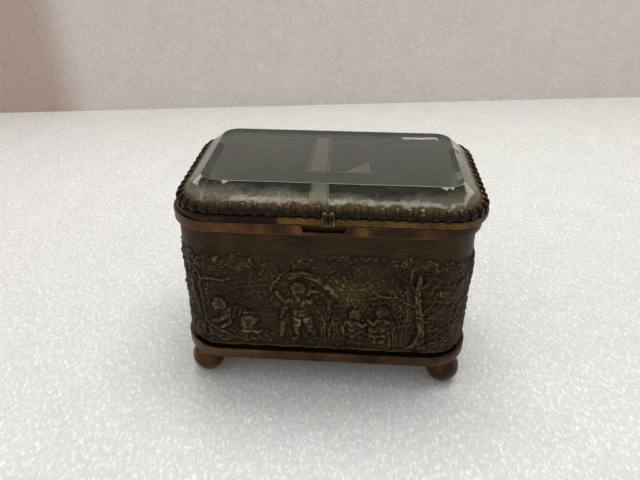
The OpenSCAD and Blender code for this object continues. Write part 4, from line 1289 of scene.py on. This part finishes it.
def embossed_panel(name, carved, s_low, s_high, surface):
    """One stretch of the wall, bent round the outline from a flat embossed slab."""
    relief, heights, crest = carved
    ring = np.arange(round(s_low / relief.step), round(s_high / relief.step) + 1)
    rows = len(relief.z)

    bm = bmesh.new()
    bmesh.ops.create_grid(bm, x_segments=len(ring) - 1, y_segments=rows - 1, size=1)
    edges = [e for e in bm.edges if e.is_boundary
             and abs(e.verts[0].co.y - e.verts[1].co.y) < 1e-6]
    grown = bmesh.ops.extrude_edge_only(bm, edges=edges)["geom"]
    for v in grown:
        if isinstance(v, bmesh.types.BMVert):
            v.co.z = -1
    bmesh.ops.bridge_loops(bm, edges=[
        e for e in bm.edges if e.verts[0].co.z < -0.5 and e.verts[1].co.z < -0.5])
    bmesh.ops.holes_fill(bm, edges=[e for e in bm.edges if e.is_boundary], sides=0)
    bmesh.ops.recalc_face_normals(bm, faces=bm.faces)
    for e in bm.edges:
        e.smooth = e.calc_face_angle(0) < 1
    mesh = mesh_of(name, bm)

    flat = coordinates(mesh)
    column = np.rint((flat[:, 0] + 1) / 2 * (len(ring) - 1)).astype(int)
    row = np.rint((flat[:, 1] + 1) / 2 * (rows - 1)).astype(int)
    outer = flat[:, 2] > -0.5
    here = (ring[column] % relief.columns, row)
    x, y, _ = WALL.at(ring[column] * relief.step, np.where(outer, heights[here], -SHEET))
    set_coordinates(mesh, np.column_stack([x, y, relief.z[row]]) * MM)
    store(mesh, "crest", np.where(outer, crest[here], 0.2))
    store(mesh, "handled", np.where(outer, relief.handled[here], 0))
    return piece(name, mesh, surface, "casket", ("embossed_wall",))


# ---------------------------------------------------------------- operators

class CASKET_OT_stage(bpy.types.Operator):
    """Add the camera, the floor, the backdrop and the light"""
    bl_idname = "casket.stage"
    bl_label = "Stage"

    def execute(self, context):
        stage = context.scene.casket_stage
        middle = Vector((WALL.x, WALL.y, 0)) * MM
        camera = bpy.data.cameras.new("camera")
        camera.lens = stage.lens
        camera.clip_start = 0.005
        seen = placed("camera", camera)
        aim = (Matrix.Rotation(stage.turn, 4, "Z")
               @ Matrix.Rotation(math.pi / 2 - stage.tilt, 4, "X")
               @ Matrix.Rotation(stage.roll, 4, "Z"))
        seen.matrix_world = Matrix.Translation(middle + Vector(stage.eye)) @ aim
        context.scene.camera = seen

        self.sheet("floor", Matrix.Identity(4), 1.6, 1.6,
                   foam_sheet("foam floor", stage.floor, 1.6, 0.36))
        upright = (Matrix.Translation((0, stage.backdrop_y, 0.1))
                   @ Matrix.Rotation(stage.backdrop_turn, 4, "Z")
                   @ Matrix.Rotation(math.pi / 2, 4, "X"))
        self.sheet("backdrop", upright, 0.7, 0.2,
                   foam_sheet("foam backdrop", stage.backdrop, 3.0, 0.14, stage.backdrop_shaded))
        self.softbox("window", (0.08, 0.22, 0.98), (0.9, 0.4), 6.2, middle)
        self.softbox("tube", (0.188, 0.743, 1.0), (0.145, 0.003), 0.0068, middle, 0.14)
        self.softbox("fill", (-0.9, -0.4, 0.7), (0.9, 0.9), 1.6, middle)
        self.room(context.scene, stage)
        return {"FINISHED"}

    def sheet(self, name, place, half_w, half_h, surface):
        """A flat sheet of foam, in metres."""
        bm = bmesh.new()
        bmesh.ops.create_grid(bm, x_segments=1, y_segments=1, size=1)
        bmesh.ops.scale(bm, vec=(half_w, half_h, 1), verts=bm.verts)
        bmesh.ops.transform(bm, matrix=place, verts=bm.verts)
        mesh = mesh_of(name, bm)
        coat(mesh, surface)
        made = placed(name, mesh)

    def softbox(self, name, place, size, power, middle, aim_x=0.0):
        """A rectangular lamp that points at the casket's middle, or to one side of it."""
        light = bpy.data.lights.new(name, "AREA")
        light.shape = "RECTANGLE"
        light.size, light.size_y = size
        light.energy = power
        made = placed(name, light)
        made.location = Vector(place) + middle
        aim = middle + Vector((aim_x, 0, 0)) - made.location
        made.rotation_euler = aim.to_track_quat("-Z", "Y").to_euler()

    def room(self, scene, stage):
        """The even light of the room, and how far light is followed through the glass."""
        world = bpy.data.worlds.new("room")
        scene.world = world
        world.use_nodes = True
        tree = world.node_tree
        tree.nodes.clear()
        glow = add(tree, "Background", {"Color": stage.sky, "Strength": 0.5})
        add(tree, "OutputWorld", {"Surface": glow})
        scene.view_settings.view_transform = "Standard"
        scene.cycles.max_bounces = 24
        scene.cycles.glossy_bounces = 16
        scene.cycles.transmission_bounces = 20
        scene.cycles.diffuse_bounces = 4


class CASKET_OT_wall(bpy.types.Operator):
    """Add the embossed wall, in four stretches"""
    bl_idname = "casket.wall"
    bl_label = "Embossed wall"

    def execute(self, context):
        settings = context.scene.casket_relief
        surface = stamped_brass("stamped brass", context.scene.casket_finish)
        eighth = math.pi / 4 * WALL.radius
        half_front = WALL.run_x / 2 + eighth
        half_side = WALL.run_y / 2 + eighth
        right = half_front + half_side
        back = right + half_side + half_front
        carved = frieze(settings, (
            lambda relief, rng: back_scene(relief, rng, back),
            lambda relief, rng: side_scene(relief, rng, right, 1),
            lambda relief, rng: side_scene(relief, rng, -right, -1),
            front_scene))
        for name, middle, half in (
                ("wall_front", 0, half_front), ("wall_right", right, half_side),
                ("wall_back", back, half_front), ("wall_left", -right, half_side)):
            embossed_panel(name, carved, middle - half, middle + half, surface)
        return {"FINISHED"}


class CASKET_OT_base(bpy.types.Operator):
    """Add the base plate, the ball feet and their screws"""
    bl_idname = "casket.base"
    bl_label = "Base and feet"

    def execute(self, context):
        finish = context.scene.casket_finish
        # painted shade: the plate is painted a little darker towards the right
        sheet = aged_brass(
            "aged sheet brass", finish.brass, finish.brass_dark, 9, 0.56, painted_shade_right=0.1)
        softened("base_plate", "tray", sheet, 0.2)
        turned = aged_brass("aged turned brass", finish.brass, finish.brass_dark, 4, 0.56,
                            gloss=(0.14, 0.34))
        for foot in [n for n in frame["nodes"] if n.startswith("foot_") and n != "foot_screws"]:
            self.ball(foot, turned)
        coat(frame["nodes"]["foot_screws"].data,
             aged_brass("screw brass", finish.rubbed, finish.brass_dark, 3, 0.4))
        return {"FINISHED"}

    def ball(self, foot, surface):
        """A turned ball, filed flat where it stands and where the screw holds it."""
        low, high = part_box(foot)
        radius = (high.x - low.x) / 2
        filed = 0.1 * MM
        middle = (low + high) / 2
        middle.z = low.z + radius - filed
        bm = bmesh.new()
        bmesh.ops.create_icosphere(bm, subdivisions=5, radius=radius)
        bmesh.ops.translate(bm, vec=middle, verts=bm.verts)
        for height, up in ((low.z, -1), (high.z, 1)):
            cut = bmesh.ops.bisect_plane(
                bm, geom=everything(bm), plane_co=(0, 0, height),
                plane_no=(0, 0, up), clear_outer=True)["geom_cut"]
            bmesh.ops.holes_fill(
                bm, edges=[e for e in cut if isinstance(e, bmesh.types.BMEdge)], sides=0)
        piece(foot + "_ball", bm, surface, "casket", (foot,))


class CASKET_OT_rim(bpy.types.Operator):
    """Add the rim and the hinge"""
    bl_idname = "casket.rim"
    bl_label = "Rim and hinge"

    def execute(self, context):
        finish = context.scene.casket_finish
        # The rim's edges are rubbed bright at twice the usual share: edge wear, and also a painted
        # highlight along its edges. It is painted darker towards the right, a painted shade.
        brass = aged_brass(
            "aged rim brass", finish.brass, finish.brass_dark, 6, 0.66, 1.2, painted_shade_right=0.36,
            spots=((-7.4, -26.9, 54.8, 1.3), (9.4, -26.9, 55.0, 2.2), (41.4, -23.5, 55.6, 1.2)))
        softened("rim", "collar", brass, 0.2)
        softened("hinge_body_leaf", "hinge_lower", brass, 0.08, 2)
        softened("hinge_lid_leaf", "hinge_upper", brass, 0.08, 2)
        pin = aged_brass("pin brass", finish.rubbed, finish.brass_dark, 2, 0.5)
        softened("hinge_pin", "hinge_rod", pin, 0.12, 2)
        return {"FINISHED"}


class CASKET_OT_lid(bpy.types.Operator):
    """Add the lid's milled ring, the clawed bezel and the thumb piece"""
    bl_idname = "casket.lid"
    bl_label = "Lid"

    def execute(self, context):
        finish = context.scene.casket_finish
        gilding = worn_gilding("worn gilding", finish)
        lid = context.scene.casket_lid
        self.ring(gilding, lid)
        self.bezel(blackened_brass("blackened brass", finish, finish.rubbed), lid)
        self.thumb(blackened_brass("handled brass", finish, srgb("#7D623C")))
        return {"FINISHED"}

    def ring(self, surface, lid):
        """A flat strip whose outer edge is milled in two rows of slanted notches."""
        low, high = heights_of("lid_ring")
        width, lip, steps, deepest = 3.0, 0.2, 14, 0.08
        milled = high - low - 2 * lip
        profile = [(-width, high), (-width, low), (-0.5, low), (-0.12, low + 0.06)]
        profile += [(0, low + lip + milled * k / steps) for k in range(steps + 1)]
        profile += [(-0.12, high - 0.06), (-0.5, high)]
        mesh = mesh_of("gilt_ring", sweep(RING, profile, 0.22, 74))
        co, s, off, turn = traced(mesh, RING)
        share = np.clip((co[:, 2] - low - lip) / milled, 0, 1)
        row = np.floor(np.clip(share, 0, 0.999) * 2)
        within = np.abs(np.sin(share * 2 * math.pi))
        lean = 0.9 * (share - 0.5) * (1 - 2 * row)
        wave = 0.5 + 0.5 * np.cos(2 * math.pi * (s / (lid.milling / MM) + 0.5 * row + lean))
        proud = within ** 0.6 * wave ** 0.8
        outside = off < 0.05

        # wear along it: a black stretch left of the thumb piece, and gilding right of that
        half = RING.whole / 2
        ahead = np.mod(s + half, RING.whole) - half
        places, wear = zip((-half, 0.4), (-42, 0.72), (-27.2, 0.76), (-26, 1.0), (-13.8, 1.0),
                           (-12.8, 0.1), (45, 0.3), (half, 0.4))
        worn = np.interp(ahead, places, wear)
        cut = np.where(outside, -deepest * (1 - proud) * np.clip(1.3 - worn, 0, 1), 0)
        push_out(mesh, co, turn, cut)
        store(mesh, "proud", np.where(outside, proud, 0.3))
        store(mesh, "worn", worn)
        piece("gilt_ring", mesh, surface, "lid", ("lid_ring",))

    def bezel(self, surface, lid):
        """A strip round the glass, with a row of claws bent over the glass's bevel."""
        low, _ = heights_of("bevelled_glass")
        top, thick = low + GLASS_EDGE, 0.5
        outer = GLASS.grown(thick + 0.1)
        profile = [(0, low + 0.1), (0, top - 0.12), (-0.12, top), (-thick, top),
                   (-thick, low), (-0.1, low)]
        bm = sweep(outer, profile, 1.5, 16)
        proud = bm.verts.layers.float.new("proud")
        for v in bm.verts:
            v[proud] = 0.45
        claw = self.claw(lid.claw_width / MM / 2, lid.claw_thickness / MM / 2)
        rng = np.random.default_rng(11)
        for k in range(lid.claws):
            s = (k + 0.5) * outer.whole / lid.claws - outer.run_x / 2
            x, y, turn = (float(v) for v in outer.at(s + rng.uniform(-0.1, 0.1)))
            known = set(bm.verts)
            bm.from_mesh(claw)
            size = rng.uniform(0.94, 1.06)
            # each claw's share of rubbing, more at the front right; it also scales the painted
            # highlight on its tip
            handled = y < 0 and x > 14
            rubbed = rng.uniform(0.68, 0.95) + (0.15 if handled else 0.0)
            stand = (Matrix.Translation(Vector((x, y, low)) * MM)
                     @ Matrix.Rotation(turn + rng.uniform(-0.05, 0.05), 4, "Z")
                     @ Matrix.Diagonal((1, size, rng.uniform(0.97, 1.01), 1)))
            fresh = [v for v in bm.verts if v not in known]
            for v in fresh:
                v[proud] *= rubbed
            bmesh.ops.transform(bm, matrix=stand, verts=fresh)
        bpy.data.meshes.remove(claw)
        piece("claws", bm, surface, "lid", ("claw_bezel",))

    def claw(self, half_wide, half_thick):
        """One claw that stands at the strip, facing +X, and bends back over the glass.

        Its stations are (outward, height, lean of its face in degrees, share of the width,
        share of the thickness, how far fingers rub it). Towards the tip that last share is
        also a painted highlight on the claw's bend and tip.
        """
        # the high rub on the last stations is partly wear and partly a painted highlight on each
        # tip
        stations = ((0.17, 0.05, 90, 1.0, 0.9, 0.3), (0.2, 0.8, 90, 1.0, 1.0, 0.4),
                    (0.2, 1.25, 98, 1.0, 1.0, 0.4), (0.1, 1.6, 118, 0.98, 1.05, 0.6),
                    (-0.14, 1.86, 138, 0.95, 1.05, 0.75), (-0.7, 2.22, 142, 0.9, 1.0, 0.6),
                    (-1.25, 2.64, 143, 0.72, 0.85, 1.0), (-1.6, 2.84, 150, 0.42, 0.6, 1.5))
        last = len(stations) - 1
        bm = bmesh.new()
        bmesh.ops.create_cone(
            bm, cap_ends=True, segments=10, radius1=1, radius2=1, depth=last)
        bmesh.ops.translate(bm, vec=(0, 0, last / 2), verts=bm.verts)
        for k in range(1, last):
            bmesh.ops.bisect_plane(
                bm, geom=everything(bm), plane_co=(0, 0, k),
                plane_no=(0, 0, 1))
        proud = bm.verts.layers.float.new("proud")
        for v in bm.verts:
            out, up, lean, wide, thick, stands = stations[round(v.co.z)]
            angle = math.radians(lean)
            face = v.co.x * half_thick * thick
            side = math.copysign(abs(v.co.y) ** 0.7, v.co.y) * half_wide * wide
            v[proud] = stands if v.co.x > 0 else 0.3
            v.co = Vector(
                (out + face * math.sin(angle), side, up - face * math.cos(angle))) * MM
        return mesh_of("claw", bm)

    def thumb(self, surface):
        """A lug of upright flutes, with two small balls on top."""
        low, high = (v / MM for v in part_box("thumb_piece"))
        wide, tall = high.x - low.x, high.z - low.z
        middle = (low.x + high.x) / 2
        level = (low.z + high.z) / 2 - 0.2
        back, ball_radius = 0.8, 0.62
        bm = bmesh.new()
        bmesh.ops.create_cube(bm, size=1)
        bmesh.ops.scale(bm, vec=(wide - 0.2, back, tall - 0.7), verts=bm.verts)
        bmesh.ops.translate(bm, vec=(middle, high.y - back / 2 - 0.02, level), verts=bm.verts)
        bmesh.ops.bevel(bm, geom=bm.edges[:], offset=0.15, segments=2, affect="EDGES",
                        profile=0.5, material=-1)
        flutes = 4
        reach = wide / flutes / 2
        for k in range(flutes):
            flute = bmesh.ops.create_cone(
                bm, cap_ends=True, segments=16, radius1=reach, radius2=reach,
                depth=tall - 0.5)["verts"]
            bmesh.ops.translate(
                bm, vec=(low.x + reach * (2 * k + 1), low.y + reach, level), verts=flute)
            own = set(flute)
            ends = [e for e in bm.edges if e.verts[0] in own and e.calc_face_angle(0) > 1]
            bmesh.ops.bevel(bm, geom=ends, offset=0.2, segments=3, affect="EDGES",
                            profile=0.5, material=-1)
        for side in (-1, 1):
            ball = bmesh.ops.create_uvsphere(
                bm, u_segments=16, v_segments=10, radius=ball_radius)["verts"]
            bmesh.ops.translate(
                bm, vec=(middle + side * 0.9, low.y + 0.66, high.z - 0.6), verts=ball)
        proud = bm.verts.layers.float.new("proud")
        for v in bm.verts:
            v[proud] = min(1.2, max(0.5, abs(v.co.z - high.z + 1.6) * 0.75))
        bmesh.ops.scale(bm, vec=(MM, MM, MM), verts=bm.verts)
        piece("thumb_lug", bm, surface, "lid", ("thumb_piece",))


class CASKET_OT_glass(bpy.types.Operator):
    """Add the bevelled glass and the paper left under it"""
    bl_idname = "casket.glass"
    bl_label = "Glass"

    def execute(self, context):
        finish = context.scene.casket_finish
        self.plate(plate_glass("plate glass", finish))
        paper = old_paper("old paper", finish)
        self.strip(paper)
        self.scrap(paper)
        return {"FINISHED"}

    def plate(self, surface):
        """A thick plate with an upright edge and a wide bevel, its arrises just broken."""
        low, high = heights_of("bevelled_glass")
        bevel = 6.3
        profile = filleted(
            [(-1.2, low), (0, low), (0, low + GLASS_EDGE), (-bevel, high), (-bevel - 1, high)],
            (0.15, 0.12, 0.16))
        bm = sweep(GLASS, profile, 4, 32, closed=False)
        piece("bevelled_plate", bm, surface, "lid", ("bevelled_glass",))

    def strip(self, surface):
        """A tapered strip of paper, stuck to the glass."""
        low, high = (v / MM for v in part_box("paper_strip"))
        middle, long = (low.x + high.x) / 2, high.y - low.y
        half, taper, steps = 3.0, 0.55, 60
        bm = bmesh.new()
        bmesh.ops.create_grid(bm, x_segments=36, y_segments=steps, size=1)
        ragged = np.random.default_rng(21).uniform(-1, 1, (steps + 1, 2))
        for v in bm.verts:
            across, along = v.co.x, (v.co.y + 1) / 2
            torn = 0.1 * ragged[round(along * steps), int(across >= 0)] * abs(across) ** 8
            v.co.x = middle + across * (half - taper * along + torn)
            v.co.y = low.y + 0.1 + (long - 0.2) * along
        self.paper_thick(bm, high.z)
        glue = bm.verts.layers.float.new("glue")
        for v in bm.verts:
            along = (v.co.y / MM - low.y) / long
            across = abs(v.co.x / MM - middle) / (half - taper * along)
            v[glue] = 1.0 if 0.74 < across < 0.9 else 0.0
        piece("old_strip", bm, surface, "lid", ("paper_strip",), smooth=False)

    def paper_thick(self, bm, top):
        """Gives flat paper its thickness, pressed a little into the glass's face."""
        pressed, thick = 0.03, 0.12
        bmesh.ops.recalc_face_normals(bm, faces=bm.faces)
        for v in bm.verts:
            v.co.z = top + pressed
        bmesh.ops.solidify(bm, geom=everything(bm), thickness=thick)
        above = max(v.co.z for v in bm.verts) - top - pressed
        bmesh.ops.translate(bm, vec=(0, 0, -above), verts=bm.verts)
        bmesh.ops.recalc_face_normals(bm, faces=bm.faces)
        bmesh.ops.scale(bm, vec=(MM, MM, MM), verts=bm.verts)

    def scrap(self, surface):
        """A torn edge of paper with one three-cornered scrap on it."""
        low, high = (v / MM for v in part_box("paper_scrap"))
        steps = 90
        bm = bmesh.new()
        bmesh.ops.create_grid(bm, x_segments=steps, y_segments=2, size=1)
        rng = np.random.default_rng(22)
        wide = blurred(rng.standard_normal((steps + 1, 1)) * 0.35, 1.2, 1).ravel()
        for v in bm.verts:
            t = (v.co.x + 1) / 2
            here = wide[round(t * steps)]
            v.co.x = low.x + (high.x - low.x) * t
            v.co.y = low.y + 0.17 + v.co.y * (0.11 + 0.12 * here) + 0.08 * here
        corner = high.x - 1.0
        points = [(corner - 6.9, low.y + 0.25), (corner, low.y + 0.25), (corner - 0.4, high.y)]
        three = bm.faces.new([bm.verts.new((x, y, 0)) for x, y in points])
        cut = bmesh.ops.subdivide_edges(bm, edges=three.edges[:], cuts=9, use_grid_fill=True)
        uneven = 0.05
        for v in cut["geom_inner"]:
            if isinstance(v, bmesh.types.BMVert):
                v.co.x += rng.uniform(-uneven, uneven)
                v.co.y += rng.uniform(-uneven, uneven)
        self.paper_thick(bm, high.z)
        piece("old_scrap", bm, surface, "lid", ("paper_scrap",), smooth=False)


class CASKET_OT_lining(bpy.types.Operator):
    """Add the cushion, the wall lining and the cards behind them"""
    bl_idname = "casket.lining"
    bl_label = "Lining"

    def execute(self, context):
        finish = context.scene.casket_finish
        cloth = dark_sateen("dark sateen", finish)
        card = strawboard("strawboard")
        self.cushion(cloth)
        self.wall_lining(cloth)
        for name in ("floor_card", "wall_card"):
            coat(frame["nodes"][name].data, card)
        return {"FINISHED"}

    def wall_lining(self, cloth):
        """Cloth drawn over a thin pad, tucked in at its top and foot, a little puckered."""
        low, high = heights_of("wall_lining")
        tucked, swell, count = 0.45, 0.5, 26
        profile = [(0, high - 0.3), (0, low + 0.3), (-0.25, low)]
        for t in (k / count for k in range(count + 1)):
            profile.append((-tucked - swell * math.sin(math.pi * t) ** 0.35,
                            low + 0.15 + (high - low - 0.3) * t))
        profile.append((-0.25, high))
        mesh = mesh_of("lining", sweep(LINING, profile, 1.4, 12))
        co, s, off, turn = traced(mesh, LINING)
        inner = np.clip(off - 0.4, 0, 0.55) / 0.55
        turns = 2 * math.pi * s / LINING.whole
        up = (co[:, 2] - low) / (high - low)
        pucker = (np.sin(23 * turns + 2.0 * up) + np.sin(41 * turns - 3.1 * up + 1)
                  + 0.6 * np.sin(9 * turns + 7 * up))
        push_out(mesh, co, turn, 0.055 * pucker * inner * (0.5 + 0.5 * np.abs(2 * up - 1)))
        return piece("lining", mesh, cloth, "casket", ("wall_lining",))

    def cushion(self, cloth):
        """A flat pad, swelled by a short cloth simulation at ten times its size."""
        low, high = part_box("floor_cushion")
        middle = (low + high) / 2
        grow, frames = 10.0, 20
        farthest = 0.011
        bm = merged("floor_cushion")
        bmesh.ops.translate(bm, vec=-middle, verts=bm.verts)
        bmesh.ops.scale(bm, vec=(0.985 * grow, 0.98 * grow, 0.74 * grow), verts=bm.verts)
        pad = placed("cushion_pad", mesh_of("cushion", bm))
        scene = bpy.context.scene
        remesh = pad.modifiers.new("Remesh", "REMESH")
        remesh.mode = "VOXEL"
        remesh.voxel_size = 0.014
        even = self.applied(pad)
        pad.modifiers.clear()
        pad.data = even
        before = coordinates(even)
        after = before
        sewn = pad.modifiers.new("Cloth", "CLOTH")
        sewn.settings.use_pressure = True
        sewn.settings.uniform_pressure_force = 4
        sewn.settings.effector_weights.gravity = 0
        sewn.point_cache.frame_start, sewn.point_cache.frame_end = 1, frames
        for step in range(1, frames + 1):
            scene.frame_set(step)
        after = coordinates(self.applied(pad))
        scene.frame_set(1)
        moved = after - before
        far = np.linalg.norm(moved, axis=1, keepdims=True)
        moved *= np.minimum(1, farthest / np.maximum(far, 1e-9))
        middle, half = np.array(middle), np.array((high - low) / 2)
        co = (before + moved) / grow + middle
        bpy.data.objects.remove(pad)
        set_coordinates(even, np.clip(co, middle - half, middle + half))
        made = piece("cushion", even, cloth, "casket", ("floor_cushion",))
        smooth = made.modifiers.new("Smooth", "SUBSURF")
        smooth.levels = smooth.render_levels = 1
        return made

    def applied(self, made):
        """The mesh that an object's modifiers give."""
        graph = bpy.context.evaluated_depsgraph_get()
        return bpy.data.meshes.new_from_object(made.evaluated_get(graph))


class CASKET_PT_panel(bpy.types.Panel):
    """The casket's pieces"""
    bl_idname = "CASKET_PT_panel"
    bl_label = "Casket"
    bl_space_type = "VIEW_3D"
    bl_region_type = "UI"
    bl_category = "Casket"

    def draw(self, context):
        for step in STEPS:
            self.layout.operator(step.bl_idname)


STEPS = (
    CASKET_OT_stage, CASKET_OT_wall, CASKET_OT_base, CASKET_OT_rim, CASKET_OT_lid,
    CASKET_OT_glass, CASKET_OT_lining,
)
GROUPS = {
    "casket_stage": CASKET_PG_stage, "casket_relief": CASKET_PG_relief,
    "casket_lid": CASKET_PG_lid, "casket_finish": CASKET_PG_finish,
}
CLASSES = (*GROUPS.values(), *STEPS, CASKET_PT_panel)


def register():
    for cls in CLASSES:
        bpy.utils.register_class(cls)
    for name, group in GROUPS.items():
        setattr(bpy.types.Scene, name, PointerProperty(type=group))


def unregister():
    for name in GROUPS:
        delattr(bpy.types.Scene, name)
    for cls in reversed(CLASSES):
        bpy.utils.unregister_class(cls)


def main():
    register()
    bpy.ops.casket.stage()
    bpy.ops.casket.wall()
    bpy.ops.casket.base()
    bpy.ops.casket.rim()
    bpy.ops.casket.lid()
    bpy.ops.casket.glass()
    bpy.ops.casket.lining()


if __name__ == "__main__":
    main()
